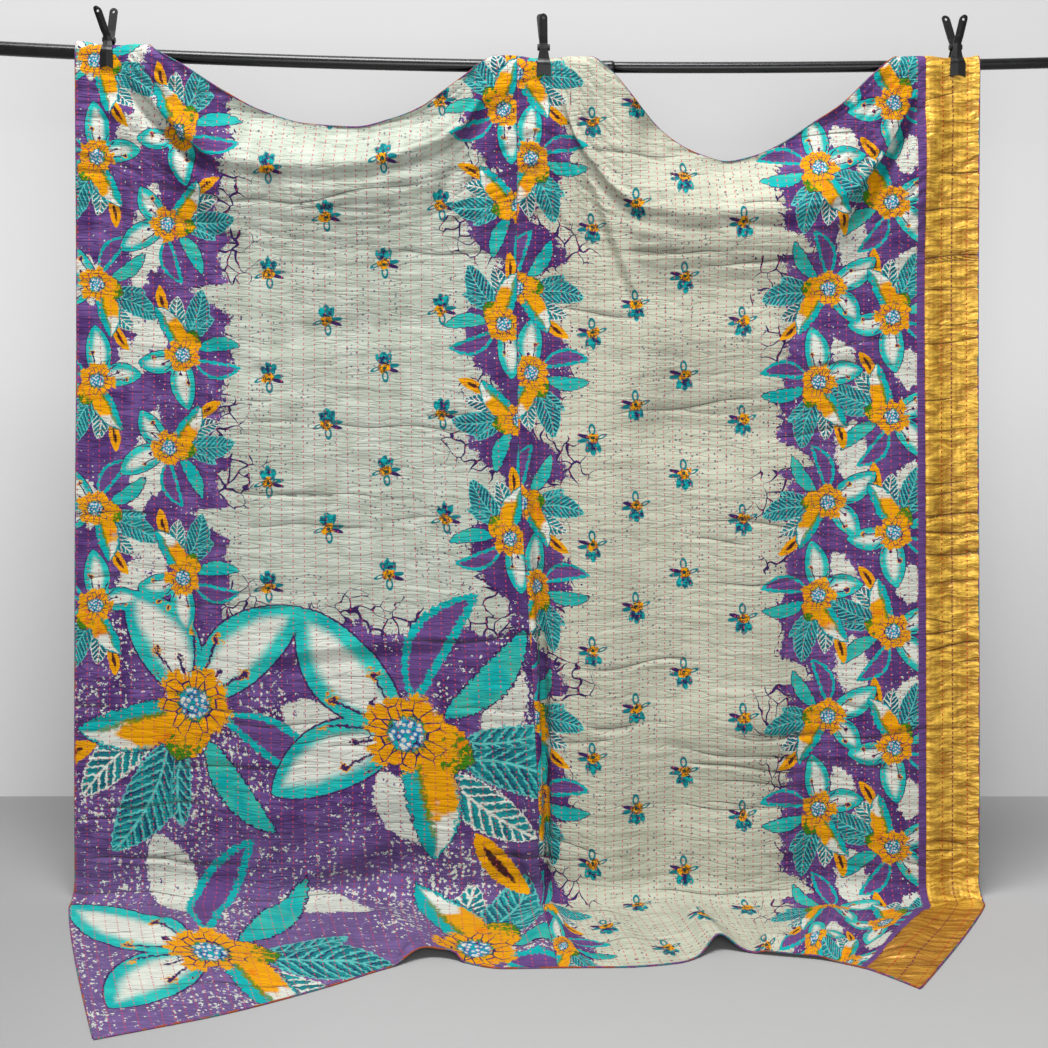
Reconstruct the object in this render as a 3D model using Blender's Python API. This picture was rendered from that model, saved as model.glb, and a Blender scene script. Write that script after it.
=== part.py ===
"""Kantha quilt hung by three clips from a telescopic rod, its foot lying on the floor.

Units are metres. +X runs along the rod from its left end, +Y away from the viewer, +Z up.
The origin is the centre of the rod's left end face. The quilt is two printed panels and a gold
border, sewn edge to edge. One function, quilt_point, gives the middle surface of all three:
the cloth passes over the rod at the clips, sags in two swags between them, hangs, bends at
the floor and lies towards the viewer.
"""
import math

import bmesh
import bpy
from mathutils import Vector

# The rod: three sections that telescope, a little lower at its right end, sagging in the middle.
ROD_LENGTH = 2.200
ROD_DROP = 0.030
ROD_SAG = 0.024
ROD_SIDES = 16
ROD_STEP = 0.190
ROD_LIP_LENGTH = 0.010
ROD_LIP_HEIGHT = 0.0004
ROD_LIP_EDGE = 0.001
# Where the cloth's round over the rod eases from one section's radius to the next, along X.
FIRST_EASE = (0.42, 0.62)
SECOND_EASE = (1.36, 1.60)
# node, where the section starts and ends along X, its radius
ROD_SECTIONS = (
    ("rod_left_section", 0.0, 0.300, 0.0144),
    ("rod_middle_section", 0.300, 1.278, 0.0130),
    ("rod_right_section", 1.278, ROD_LENGTH, 0.0112),
)
GAP = 0.0003

# The cloth.
THICKNESS = 0.0024
ROD_CLEARANCE = 0.0010
ROD_STANDOFF = 0.0045
STANDOFF_FROM = 0.018
STANDOFF_TO = 0.056
FLOOR_Z = -1.682
BEND_RADIUS = 0.040
FLOOR_PULL = 0.035
QUILT_PUFF = 0.0008
NORMAL_STEP = 0.004
# node, left edge and right edge across the hanging quilt
PANELS = (
    ("quilt_left_panel", 0.216, 1.086),
    ("quilt_right_panel", 1.086, 1.893),
    ("zari_border", 1.893, 1.999),
)
COLUMN_STEP = 0.046
CLIP_COLUMN_STEP = 0.013
CLIP_ZONE = 0.130
SEAM_GAP = 0.0003
# Steps down the cloth: over the rod and below it, hanging, round the floor bend, on the floor.
ROD_STEPS = 13
ROD_RUN = 0.117
HANG_STEPS = 13
HANG_SPREAD = 1.25
BEND_STEPS = 4
FLOOR_STEPS = 9

# How far the top hem reaches past the rod's axis level, measured along the cloth: more than
# half the rod's round at the clips, where it hangs behind; below zero in the two swags.
# x, reach
TOP_HEM = (
    (0.216, 0.098), (0.296, 0.098), (0.312, 0.086), (0.328, 0.066), (0.343, 0.047),
    (0.357, 0.029), (0.371, 0.012), (0.392, 0.000), (0.420, -0.014), (0.504, -0.064),
    (0.574, -0.098), (0.670, -0.122), (0.760, -0.125), (0.836, -0.107), (0.902, -0.081),
    (0.946, -0.050), (0.988, -0.018), (1.010, 0.000), (1.032, 0.016), (1.050, 0.032),
    (1.068, 0.050), (1.086, 0.072), (1.104, 0.092), (1.118, 0.098), (1.162, 0.098),
    (1.180, 0.086), (1.198, 0.066), (1.215, 0.046), (1.232, 0.028), (1.249, 0.011),
    (1.264, -0.002), (1.280, -0.018), (1.336, -0.084), (1.400, -0.143), (1.452, -0.170),
    (1.506, -0.184), (1.562, -0.173), (1.616, -0.149), (1.682, -0.106), (1.728, -0.076),
    (1.780, -0.026), (1.796, -0.012), (1.810, 0.000), (1.824, 0.012), (1.842, 0.030),
    (1.860, 0.048), (1.878, 0.068), (1.896, 0.088), (1.914, 0.098), (1.999, 0.098),
)
# The crease under each swag, where its loose upper part, which leans back, meets the hang.
# x, drop below the rod's axis
SWAG_CREASE = (
    (0.216, 0.030), (0.298, 0.043), (0.364, 0.095), (0.440, 0.162), (0.500, 0.208),
    (0.652, 0.216), (0.772, 0.208), (0.892, 0.174), (0.976, 0.128), (1.032, 0.050),
    (1.110, 0.020), (1.162, 0.036), (1.206, 0.144), (1.284, 0.246), (1.332, 0.282),
    (1.452, 0.296), (1.624, 0.292), (1.720, 0.262), (1.796, 0.190), (1.854, 0.097),
    (1.890, 0.036), (1.999, 0.030),
)
SWAG_EASE = 0.140
CREASE_FADE = 0.110
LEAN_FROM_DROP = 0.030
LEAN_TO_DROP = 0.100
# swag's left and right end, how far its hem leans back, how far its crease stands forward
SWAGS = (
    (0.360, 1.040, 0.036, 0.026),
    (1.230, 1.835, 0.044, 0.032),
)
FREE_FROM_DROP = 0.045
FREE_TO_DROP = 0.120
PULL_FROM_DROP = 0.300
HANG_DROP = 1.650
FOLD_FADE = 0.3
# The main folds of the hanging cloth, straight soft ridges (push over 0) or troughs.
# x and drop of one end, x and drop of the other, half width, push towards the viewer
FOLDS = (
    (0.290, 0.040, 0.505, 0.235, 0.024, -0.012),
    (0.270, 0.070, 0.470, 0.300, 0.034, 0.009),
    (1.100, 0.030, 0.985, 0.140, 0.022, -0.010),
    (1.150, 0.030, 1.215, 0.190, 0.020, -0.011),
    (1.215, 0.190, 1.340, 0.500, 0.034, -0.010),
    (1.130, 0.060, 1.170, 0.420, 0.036, 0.013),
    (1.895, 0.040, 1.735, 0.330, 0.026, -0.012),
    (1.735, 0.330, 1.620, 0.540, 0.036, -0.008),
    (1.925, 0.060, 1.840, 0.400, 0.032, 0.010),
    (0.560, 0.300, 0.600, 1.950, 0.085, 0.012),
    (0.420, 0.450, 0.390, 1.950, 0.070, -0.010),
    (0.780, 0.320, 0.740, 1.950, 0.080, -0.010),
    (0.960, 0.300, 0.925, 1.950, 0.070, 0.012),
    (1.250, 0.560, 1.265, 1.950, 0.060, 0.016),
    (1.400, 0.420, 1.385, 1.950, 0.070, -0.012),
    (1.560, 0.420, 1.530, 1.950, 0.075, 0.014),
    (1.710, 0.600, 1.680, 1.950, 0.060, -0.013),
    (1.850, 0.500, 1.850, 1.950, 0.060, 0.010),
    (0.250, 0.600, 0.250, 1.950, 0.055, 0.009),
    (0.690, 1.660, 0.900, 1.560, 0.028, -0.012),
    (0.560, 1.500, 0.860, 1.440, 0.050, 0.009),
    (1.128, 0.950, 1.140, 2.100, 0.022, -0.024),
)
# Down to the floor the cloth drifts to the right by the seam, which shuts a deep fold there.
SEAM_DRIFT = 0.046
DRIFT_FROM_X = 0.560
DRIFT_SEAM_X = 1.086
DRIFT_FOLD_X = 1.156
DRIFT_FROM_DROP = 0.550
FLOOR_TURN = 1.1
HUMP_EASE = 0.12
# Where the bottom hem lies. x of the cloth as it hangs, x of the hem, how far out it lies
BOTTOM_HEM = (
    (0.216, 0.411, 0.631), (0.312, 0.486, 0.598), (0.452, 0.602, 0.545), (0.652, 0.757, 0.449),
    (0.780, 0.860, 0.372), (0.872, 0.938, 0.330), (1.000, 1.064, 0.374), (1.086, 1.160, 0.371),
    (1.232, 1.276, 0.369), (1.322, 1.376, 0.352), (1.430, 1.462, 0.300), (1.532, 1.540, 0.318),
    (1.712, 1.632, 0.338), (1.893, 1.704, 0.374), (1.999, 1.780, 0.453),
)
# Humps of the cloth on the floor. x and distance out of one end, of the other, half width, height
HUMPS = (
    (1.462, 0.330, 1.415, 0.150, 0.030, 0.030),
    (1.545, 0.285, 1.640, 0.300, 0.030, 0.022),
    (0.905, 0.330, 0.960, 0.345, 0.034, 0.018),
    (0.820, 0.150, 0.930, 0.300, 0.040, 0.014),
    (1.148, 0.110, 1.130, 0.340, 0.028, 0.018),
    (0.430, 0.200, 0.600, 0.120, 0.050, 0.010),
    (0.560, 0.420, 0.760, 0.300, 0.050, 0.009),
    (1.250, 0.120, 1.300, 0.330, 0.036, 0.013),
    (1.690, 0.130, 1.660, 0.320, 0.036, 0.020),
    (1.850, 0.130, 1.780, 0.330, 0.040, 0.014),
)

# The clips: two levers that pinch the cloth on the rod, and the spring barrel between them.
LEVER_HALF_THICKNESS = 0.0022
LEVER_HALF_WIDTH = 0.0080
LEVER_TIP_HALF_WIDTH = 0.0012
LEVER_CROWN = 0.0008
# Where the lever's outline has its points: heights on the round of the jaw, shares of the way up
# the handle, and turns round its end.
JAW_HEIGHTS = (0.0, 0.006, 0.011, 0.015)
WAIST_SHARE = 0.05
HANDLE_SHARES = (0.30, 0.70)
HANDLE_END_TURNS = tuple(math.radians(angle) for angle in (0, 30, 55, 75, 90))
JAW_NOTCH = 0.0050
BARREL_RADIUS = 0.0065
BARREL_HALF_LENGTH = 0.0125
BARREL_SIDES = 16
# Rings along the barrel: place along its half length, share of its radius.
BARREL_RINGS = ((-1.0, 0.86), (-0.92, 1.0), (0.92, 1.0), (1.0, 0.86))
CLIP_GAP = 0.0005
HANDLE_SPREAD = 0.0200
HANDLE_HOLE_RADIUS = 0.0027
HANDLE_HOLE_DEPTH = 0.0085
HANDLE_HOLE_SIDES = 12
CUTTER_LENGTH = 0.040
# name, x, pivot's height over the rod's axis, jaw's reach below it, jaw's half width, then each
# handle's height over the axis and its lean along X, front and back
CLIPS = (
    ("left", 0.277, 0.0275, 0.031, 0.0125, 0.089, -0.0170, 0.096, 0.0030),
    ("centre", 1.139, 0.0380, 0.022, 0.0140, 0.100, -0.0010, 0.109, -0.0065),
    ("right", 1.956, 0.0350, 0.026, 0.0150, 0.094, 0.0090, 0.103, -0.0140),
)

# part, colour, roughness, metallic
FINISHES = {
    "quilt_left_panel": ((0.45, 0.42, 0.50), 0.85, 0.0),
    "quilt_right_panel": ((0.62, 0.66, 0.57), 0.85, 0.0),
    "zari_border": ((0.66, 0.45, 0.12), 0.45, 0.35),
    "rod": ((0.015, 0.016, 0.018), 0.35, 0.6),
    "clip": ((0.012, 0.012, 0.013), 0.5, 0.0),
}


def clear_scene():
    for item in list(bpy.data.objects):
        bpy.data.objects.remove(item, do_unlink=True)


def finish(name):
    colour, roughness, metallic = FINISHES[name]
    material = bpy.data.materials.get(name) or bpy.data.materials.new(name)
    material.use_nodes = True
    shader = material.node_tree.nodes["Principled BSDF"]
    shader.inputs["Base Color"].default_value = (*colour, 1.0)
    shader.inputs["Roughness"].default_value = roughness
    shader.inputs["Metallic"].default_value = metallic
    return material


def add_object(node, work, material, smooth_angle=40.0):
    """Put a bmesh into the scene as one named object."""
    bmesh.ops.recalc_face_normals(work, faces=work.faces)
    mesh = bpy.data.meshes.new(node)
    work.to_mesh(mesh)
    work.free()
    mesh.shade_smooth()
    mesh.set_sharp_from_angle(angle=math.radians(smooth_angle))
    mesh.materials.append(finish(material))
    item = bpy.data.objects.new(node, mesh)
    bpy.context.scene.collection.objects.link(item)
    return item


def smooth(value, low=0.0, high=1.0):
    share = min(max((value - low) / (high - low), 0.0), 1.0)
    return share * share * (3.0 - 2.0 * share)


def along(table, x, column=1):
    """A table's value at x, on a smooth curve through its rows (monotone between them)."""
    if x <= table[0][0]:
        return table[0][column]
    if x >= table[-1][0]:
        return table[-1][column]
    place = next(i for i in range(len(table) - 1) if x <= table[i + 1][0])

    def slope(i):
        if i <= 0 or i >= len(table) - 1:
            return 0.0
        before, here, after = table[i - 1], table[i], table[i + 1]
        rise_in = (here[column] - before[column]) / (here[0] - before[0])
        rise_out = (after[column] - here[column]) / (after[0] - here[0])
        return 0.0 if rise_in * rise_out <= 0.0 else 2 * rise_in * rise_out / (rise_in + rise_out)

    low, high = table[place], table[place + 1]
    span = high[0] - low[0]
    s = (x - low[0]) / span
    return ((1 + 2 * s) * (1 - s) ** 2 * low[column] + s * (1 - s) ** 2 * span * slope(place)
            + s * s * (3 - 2 * s) * high[column] + s * s * (s - 1) * span * slope(place + 1))


def off_line(x, y, x0, y0, x1, y1, half_width):
    """A soft bump along a straight line: 1 on it, 0 a few half widths off or past its ends."""
    dx, dy = x1 - x0, y1 - y0
    length = math.hypot(dx, dy)
    place = ((x - x0) * dx + (y - y0) * dy) / length
    side = ((x - x0) * dy - (y - y0) * dx) / length
    past = max(-place, place - length, 0.0)
    fade = FOLD_FADE * length
    ease = smooth(place + half_width, 0.0, fade) * smooth(length + half_width - place, 0.0, fade)
    return math.exp(-(side / half_width) ** 2 - (past / half_width) ** 2) * ease


# --- the rod -----------------------------------------------------------------------------------

def rod_z(x):
    share = x / ROD_LENGTH
    return -ROD_DROP * share - 4.0 * ROD_SAG * share * (1.0 - share)


def rod_radius(x):
    """The rod's radius under the cloth at x, eased over the steps between its sections."""
    left, middle, right = (section[3] for section in ROD_SECTIONS)
    widest = middle + ROD_LIP_HEIGHT
    first = left + (widest - left) * smooth(x, *FIRST_EASE)
    return first + (right - widest) * smooth(x, *SECOND_EASE)


def wrap_radius(x):
    """The radius of the cloth's middle surface over the rod: close by a clip, looser away."""
    away = min(abs(x - clip[1]) for clip in CLIPS)
    standoff = ROD_STANDOFF * smooth(away, STANDOFF_FROM, STANDOFF_TO)
    return rod_radius(x) + ROD_CLEARANCE + standoff + THICKNESS / 2


def tube(node, stations, material):
    """A round solid through rings (x, radius) centred on the rod's line, with flat ends."""
    work = bmesh.new()
    rings = []
    for x, radius in stations:
        ring = []
        for k in range(ROD_SIDES):
            angle = 2.0 * math.pi * k / ROD_SIDES
            ring.append(work.verts.new((x, radius * math.cos(angle),
                                        rod_z(x) + radius * math.sin(angle))))
        rings.append(ring)
    bridge_rings(work, rings)
    return add_object(node, work, material)


def bridge_rings(work, rings):
    """Close a row of equal rings into one body: walls between them and a face at each end."""
    count = len(rings[0])
    for low, high in zip(rings, rings[1:]):
        for k in range(count):
            after = (k + 1) % count
            work.faces.new((low[k], low[after], high[after], high[k]))
    work.faces.new(rings[0])
    work.faces.new(rings[-1])


def build_rod():
    for index, (node, start, end, radius) in enumerate(ROD_SECTIONS):
        first = start + (GAP if index else 0.0)
        steps = max(2, round((end - first) / ROD_STEP))
        stations = [(first + (end - first) * k / steps, radius) for k in range(steps + 1)]
        if index < len(ROD_SECTIONS) - 1:
            lip = end - ROD_LIP_LENGTH
            stations = [row for row in stations if row[0] < lip - ROD_LIP_LENGTH]
            stations += [(lip, radius), (lip + ROD_LIP_EDGE, radius + ROD_LIP_HEIGHT),
                         (end - ROD_LIP_EDGE, radius + ROD_LIP_HEIGHT),
                         (end, radius - ROD_LIP_HEIGHT)]
        tube(node, stations, "rod")


# --- the quilt ---------------------------------------------------------------------------------

def swag_lean(x, drop, hem_drop):
    """How the upper part of a swag leans back to its hem and stands forward at its crease."""
    crease = along(SWAG_CREASE, x)
    push = 0.0
    for start, end, back, forward in SWAGS:
        inside = smooth(x, start, start + SWAG_EASE) * smooth(end - x, 0.0, SWAG_EASE)
        if inside <= 0.0:
            continue
        depth = max(crease - hem_drop, 0.02)
        if drop < crease:
            share = smooth((crease - drop) / depth)
            lean = back * smooth(hem_drop, LEAN_FROM_DROP, LEAN_TO_DROP)
            push += inside * (forward * (1.0 - share) - lean * share)
        else:
            push += inside * forward * math.exp(-((drop - crease) / CREASE_FADE) ** 2)
    return push


def hang_push(x, drop, hem_drop):
    """How far the hanging cloth stands towards the viewer from where the rod's front holds it."""
    folds = sum(push * off_line(x, drop, x0, d0, x1, d1, width)
                for x0, d0, x1, d1, width, push in FOLDS)
    free = smooth(drop, FREE_FROM_DROP, FREE_TO_DROP)
    pull = FLOOR_PULL * smooth(drop, PULL_FROM_DROP, HANG_DROP)
    return pull + free * (folds + swag_lean(x, drop, hem_drop))


def drift(x, drop):
    """The cloth's slow drift along X on its way down, which squeezes the strip by the seam."""
    if x < DRIFT_SEAM_X:
        share = smooth(x, DRIFT_FROM_X, DRIFT_SEAM_X)
    else:
        share = 1.0 - min((x - DRIFT_SEAM_X) / (DRIFT_FOLD_X - DRIFT_SEAM_X), 1.0)
    return SEAM_DRIFT * share * smooth(drop, DRIFT_FROM_DROP, HANG_DROP)


def column(x):
    """The lengths, down the cloth from its top hem, at which a column changes its course."""
    reach = along(TOP_HEM, x)
    height = rod_z(x) - FLOOR_Z - THICKNESS / 2
    bend_start = reach + height - BEND_RADIUS
    bend_end = bend_start + BEND_RADIUS * math.pi / 2
    front = -wrap_radius(x) - hang_push(x, height, 0.0)
    foot_y = front - BEND_RADIUS
    hem_x = along(BOTTOM_HEM, x)
    out = along(BOTTOM_HEM, x, 2)
    flat = math.hypot(hem_x - x - drift(x, height), out + foot_y)
    return reach, height, bend_start, bend_end, foot_y, hem_x, out, flat


def quilt_point(x, length):
    """The middle surface of the quilt at column x, a length down the cloth from the top hem."""
    reach, height, bend_start, bend_end, foot_y, hem_x, out, flat = column(x)
    radius = wrap_radius(x)
    run = length - reach
    if run < -math.pi * radius:
        return Vector((x, radius, rod_z(x) + run + math.pi * radius))
    if run < 0.0:
        angle = -run / radius
        return Vector((x, -radius * math.cos(angle), rod_z(x) + radius * math.sin(angle)))
    if length < bend_start:
        front = -radius - hang_push(x, run, max(-reach, 0.0))
        return Vector((x + drift(x, run), front, rod_z(x) - run))
    if length < bend_end:
        angle = (length - bend_start) / BEND_RADIUS
        front = -radius - hang_push(x, min(run, height), 0.0)
        return Vector((x + drift(x, height), front - BEND_RADIUS * (1.0 - math.cos(angle)),
                       FLOOR_Z + THICKNESS / 2 + BEND_RADIUS * (1.0 - math.sin(angle))))
    share = min((length - bend_end) / flat, 1.0)
    start_x = x + drift(x, height)
    place_x = start_x + (hem_x - start_x) * share ** FLOOR_TURN
    away = -foot_y + (out + foot_y) * share
    lift = sum(high * off_line(place_x, away, x0, a0, x1, a1, width)
               for x0, a0, x1, a1, width, high in HUMPS)
    return Vector((place_x, -away, FLOOR_Z + THICKNESS / 2 + lift * smooth(share, 0.0, HUMP_EASE)))


def column_lengths(x):
    """The lengths of the rows down column x; every column has the same number of rows."""
    _reach, _height, bend_start, bend_end, _foot, _hem, _out, flat = column(x)
    rows = [ROD_RUN * k / ROD_STEPS for k in range(ROD_STEPS)]
    for k in range(HANG_STEPS):
        share = k / HANG_STEPS
        rows.append(ROD_RUN + (bend_start - ROD_RUN) * share ** HANG_SPREAD)
    rows += [bend_start + (bend_end - bend_start) * k / BEND_STEPS for k in range(BEND_STEPS)]
    rows += [bend_end + flat * k / FLOOR_STEPS for k in range(FLOOR_STEPS + 1)]
    return rows


def quilt_normal(x, length):
    """The quilt's outward normal: towards the viewer where it hangs, up where it lies."""
    left, right = x - NORMAL_STEP, x + NORMAL_STEP
    reach = along(TOP_HEM, x)
    across = quilt_point(right, length + along(TOP_HEM, right) - reach)
    across -= quilt_point(left, length + along(TOP_HEM, left) - reach)
    down = quilt_point(x, length + NORMAL_STEP) - quilt_point(x, max(length - NORMAL_STEP, 0.0))
    return down.cross(across).normalized()


def panel_columns(left, right):
    """The columns of a panel: close together by the clips, wider apart between them."""
    first = left + (SEAM_GAP / 2 if left > PANELS[0][1] else 0.0)
    last = right - (SEAM_GAP / 2 if right < PANELS[-1][2] else 0.0)
    places = [first]
    while places[-1] < last:
        away = min(abs(places[-1] - clip[1]) for clip in CLIPS)
        places.append(places[-1] + (CLIP_COLUMN_STEP if away < CLIP_ZONE else COLUMN_STEP))
    fit = (last - first) / (places[-1] - first)
    return [first + (place - first) * fit for place in places]


def build_panel(node, left, right):
    """One cut piece of the quilt as a closed sheet: front, back and a wall round its edge."""
    places = panel_columns(left, right)
    steps = len(places) - 1
    work = bmesh.new()
    front, back = [], []
    for i, x in enumerate(places):
        front.append([])
        back.append([])
        lengths = column_lengths(x)
        for j, length in enumerate(lengths):
            point = quilt_point(x, length)
            normal = quilt_normal(x, length)
            inside = 0 < i < steps and ROD_STEPS + 1 < j < len(lengths) - 1
            puff = QUILT_PUFF if inside and (i + j) % 2 else 0.0
            front[-1].append(work.verts.new(point + normal * (THICKNESS / 2 + puff)))
            back[-1].append(work.verts.new(point - normal * THICKNESS / 2))
    rows = len(front[0])
    for i in range(steps):
        for j in range(rows - 1):
            for sheet in (front, back):
                work.faces.new((sheet[i][j], sheet[i + 1][j], sheet[i + 1][j + 1],
                                sheet[i][j + 1]))
    rim = [(i, 0) for i in range(steps)] + [(steps, j) for j in range(rows - 1)]
    rim += [(i, rows - 1) for i in range(steps, 0, -1)] + [(0, j) for j in range(rows - 1, 0, -1)]
    for (i, j), (k, m) in zip(rim, rim[1:] + rim[:1]):
        work.faces.new((front[i][j], front[k][m], back[k][m], back[i][j]))
    bmesh.ops.triangulate(work, faces=work.faces)
    add_object(node, work, node, 60.0)


# --- the clips ---------------------------------------------------------------------------------

def lever_inside(x, height, pivot):
    """How far from the rod's axis plane a lever's inner face is: round the cloth or the barrel."""
    cloth = rod_radius(x) + ROD_CLEARANCE + THICKNESS + CLIP_GAP
    if height <= 0.0:
        return cloth
    around = math.sqrt(max(cloth * cloth - height * height, 0.0))
    return max(around, BARREL_RADIUS + GAP * smooth(height, 0.0, pivot))


def build_lever(node, x, pivot, reach, jaw, top, lean, facing):
    """One lever: a wide notched jaw, a waist at the barrel and a handle with a round end.

    facing is -1 for the front lever and 1 for the back one.
    """
    # height over the rod's axis, half width, how much of the handle's spread and lean it has
    stations = [(-reach, jaw, 0.0), (-reach / 2, jaw, 0.0)]
    for height in JAW_HEIGHTS:
        narrowed = jaw + (LEVER_HALF_WIDTH - jaw) * height / (pivot - BARREL_RADIUS / 2)
        stations.append((height, narrowed, 0.0))
    stations.append((pivot - BARREL_RADIUS / 2, LEVER_HALF_WIDTH, 0.0))
    stations.append((pivot + BARREL_RADIUS, LEVER_HALF_WIDTH, WAIST_SHARE))
    for share in HANDLE_SHARES:
        stations.append((pivot + (top - pivot) * share, LEVER_HALF_WIDTH, share))
    for turn in HANDLE_END_TURNS:
        height = top - LEVER_HALF_WIDTH * (1.0 - math.sin(turn))
        half_width = max(LEVER_HALF_WIDTH * math.cos(turn), LEVER_TIP_HALF_WIDTH)
        stations.append((height, half_width, (height - pivot) / (top - pivot)))
    work = bmesh.new()
    rings = []
    for height, half_width, share in stations:
        inner = lever_inside(x, height, pivot) + HANDLE_SPREAD * share
        outer = inner + 2 * LEVER_HALF_THICKNESS
        middle = x + lean * share
        notch = JAW_NOTCH if height <= -reach + 1e-6 else 0.0
        edge = outer - LEVER_CROWN
        ring = [(-1, inner, 0.0), (0, inner, notch), (1, inner, 0.0),
                (1, edge, 0.0), (0, outer, notch), (-1, edge, 0.0)]
        rings.append([])
        for side, y, rise in ring:
            px = middle + side * half_width
            rings[-1].append(work.verts.new((px, facing * y, rod_z(px) + height + rise)))
    bridge_rings(work, rings)
    bmesh.ops.triangulate(work, faces=work.faces)
    item = add_object(node, work, "clip")
    cut_hole(item, x + lean * (1.0 - HANDLE_HOLE_DEPTH / (top - pivot)),
             facing * (BARREL_RADIUS + HANDLE_SPREAD), rod_z(x) + top - HANDLE_HOLE_DEPTH)


def cut_hole(item, x, y, z):
    """The small round hole through the end of a handle."""
    bpy.ops.mesh.primitive_cylinder_add(vertices=HANDLE_HOLE_SIDES, radius=HANDLE_HOLE_RADIUS,
                                        depth=CUTTER_LENGTH, location=(x, y, z),
                                        rotation=(math.pi / 2, 0.0, 0.0))
    cutter = bpy.context.object
    cutter.name = item.name + "_cutter"
    cutter.hide_render = True
    cutter.display_type = "WIRE"
    cut = item.modifiers.new("hole", "BOOLEAN")
    cut.operation = "DIFFERENCE"
    cut.solver = "EXACT"
    cut.object = cutter


def build_barrel(node, x, pivot):
    work = bmesh.new()
    rings = []
    for across, share in BARREL_RINGS:
        ring = []
        px = x + across * BARREL_HALF_LENGTH
        radius = share * BARREL_RADIUS
        for k in range(BARREL_SIDES):
            angle = 2.0 * math.pi * (k + 0.5) / BARREL_SIDES
            ring.append(work.verts.new((px, radius * math.cos(angle),
                                        rod_z(px) + pivot + radius * math.sin(angle))))
        rings.append(ring)
    bridge_rings(work, rings)
    add_object(node, work, "clip")


def build_clip(name, x, pivot, reach, jaw, front_top, front_lean, back_top, back_lean):
    build_lever("clip_%s_front_lever" % name, x, pivot, reach, jaw, front_top, front_lean, -1)
    build_lever("clip_%s_back_lever" % name, x, pivot, reach, jaw, back_top, back_lean, 1)
    build_barrel("clip_%s_barrel" % name, x, pivot)


def main():
    clear_scene()
    build_rod()
    for panel in PANELS:
        build_panel(*panel)
    for clip in CLIPS:
        build_clip(*clip)


main()
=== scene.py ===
"""The looks of the kantha quilt: its printed cloth, stitches, gold border, rod and clips.

Metres, in the part's own frame: +X along the rod from its left end, +Y away from the viewer,
+Z up. The quilt's surface repeats the part's own: columns run down the cloth from the top hem,
over the rod, down to the floor and out over it. Every point of the cloth also has flat
coordinates, along = its column's X and run = its distance down the cloth below the rod's axis,
and the print, the stitches and the wrinkles are laid out in them.
"""
import math

import bpy
import numpy as np
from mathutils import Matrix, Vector


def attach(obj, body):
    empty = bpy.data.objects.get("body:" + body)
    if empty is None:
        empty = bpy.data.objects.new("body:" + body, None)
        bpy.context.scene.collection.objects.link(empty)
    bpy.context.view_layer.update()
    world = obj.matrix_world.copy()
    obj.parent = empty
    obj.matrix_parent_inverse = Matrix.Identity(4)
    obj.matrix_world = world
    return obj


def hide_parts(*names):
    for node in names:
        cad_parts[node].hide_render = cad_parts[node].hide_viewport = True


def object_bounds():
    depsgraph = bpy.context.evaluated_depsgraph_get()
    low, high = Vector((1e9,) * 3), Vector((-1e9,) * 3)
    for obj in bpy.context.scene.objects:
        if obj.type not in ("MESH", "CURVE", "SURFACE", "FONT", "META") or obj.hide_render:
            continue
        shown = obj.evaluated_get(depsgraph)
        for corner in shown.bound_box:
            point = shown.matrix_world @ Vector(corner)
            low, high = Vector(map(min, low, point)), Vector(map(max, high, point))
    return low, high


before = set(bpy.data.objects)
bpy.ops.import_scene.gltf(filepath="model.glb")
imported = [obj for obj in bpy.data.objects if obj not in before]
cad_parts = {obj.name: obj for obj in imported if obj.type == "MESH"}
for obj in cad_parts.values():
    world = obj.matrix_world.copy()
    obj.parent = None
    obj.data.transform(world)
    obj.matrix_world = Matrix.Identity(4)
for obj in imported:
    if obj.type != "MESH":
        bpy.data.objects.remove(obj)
CAD_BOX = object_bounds()

# --- sizes shared with the part ----------------------------------------------------------------
ROD_LENGTH = 2.200
ROD_DROP = 0.030
ROD_SAG = 0.024
ROD_LIP_LENGTH = 0.010
ROD_LIP_HEIGHT = 0.0004
FIRST_EASE = (0.42, 0.62)
SECOND_EASE = (1.36, 1.60)
ROD_SECTIONS = (
    ("rod_left_section", 0.0, 0.300, 0.0144),
    ("rod_middle_section", 0.300, 1.278, 0.0130),
    ("rod_right_section", 1.278, ROD_LENGTH, 0.0112),
)
THICKNESS = 0.0024
ROD_CLEARANCE = 0.0010
ROD_STANDOFF = 0.0045
STANDOFF_FROM = 0.018
STANDOFF_TO = 0.056
FLOOR_Z = -1.682
BEND_RADIUS = 0.040
FLOOR_PULL = 0.035
LEFT_EDGE = 0.216
SEAM_X = 1.086
GOLD_SEAM_X = 1.893
RIGHT_EDGE = 1.999
# x, how far the top hem reaches past the rod's axis level
TOP_HEM = (
    (0.216, 0.098), (0.296, 0.098), (0.312, 0.086), (0.328, 0.066), (0.343, 0.047),
    (0.357, 0.029), (0.371, 0.012), (0.392, 0.000), (0.420, -0.014), (0.504, -0.064),
    (0.574, -0.098), (0.670, -0.122), (0.760, -0.125), (0.836, -0.107), (0.902, -0.081),
    (0.946, -0.050), (0.988, -0.018), (1.010, 0.000), (1.032, 0.016), (1.050, 0.032),
    (1.068, 0.050), (1.086, 0.072), (1.104, 0.092), (1.118, 0.098), (1.162, 0.098),
    (1.180, 0.086), (1.198, 0.066), (1.215, 0.046), (1.232, 0.028), (1.249, 0.011),
    (1.264, -0.002), (1.280, -0.018), (1.336, -0.084), (1.400, -0.143), (1.452, -0.170),
    (1.506, -0.184), (1.562, -0.173), (1.616, -0.149), (1.682, -0.106), (1.728, -0.076),
    (1.780, -0.026), (1.796, -0.012), (1.810, 0.000), (1.824, 0.012), (1.842, 0.030),
    (1.860, 0.048), (1.878, 0.068), (1.896, 0.088), (1.914, 0.098), (1.999, 0.098),
)
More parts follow.
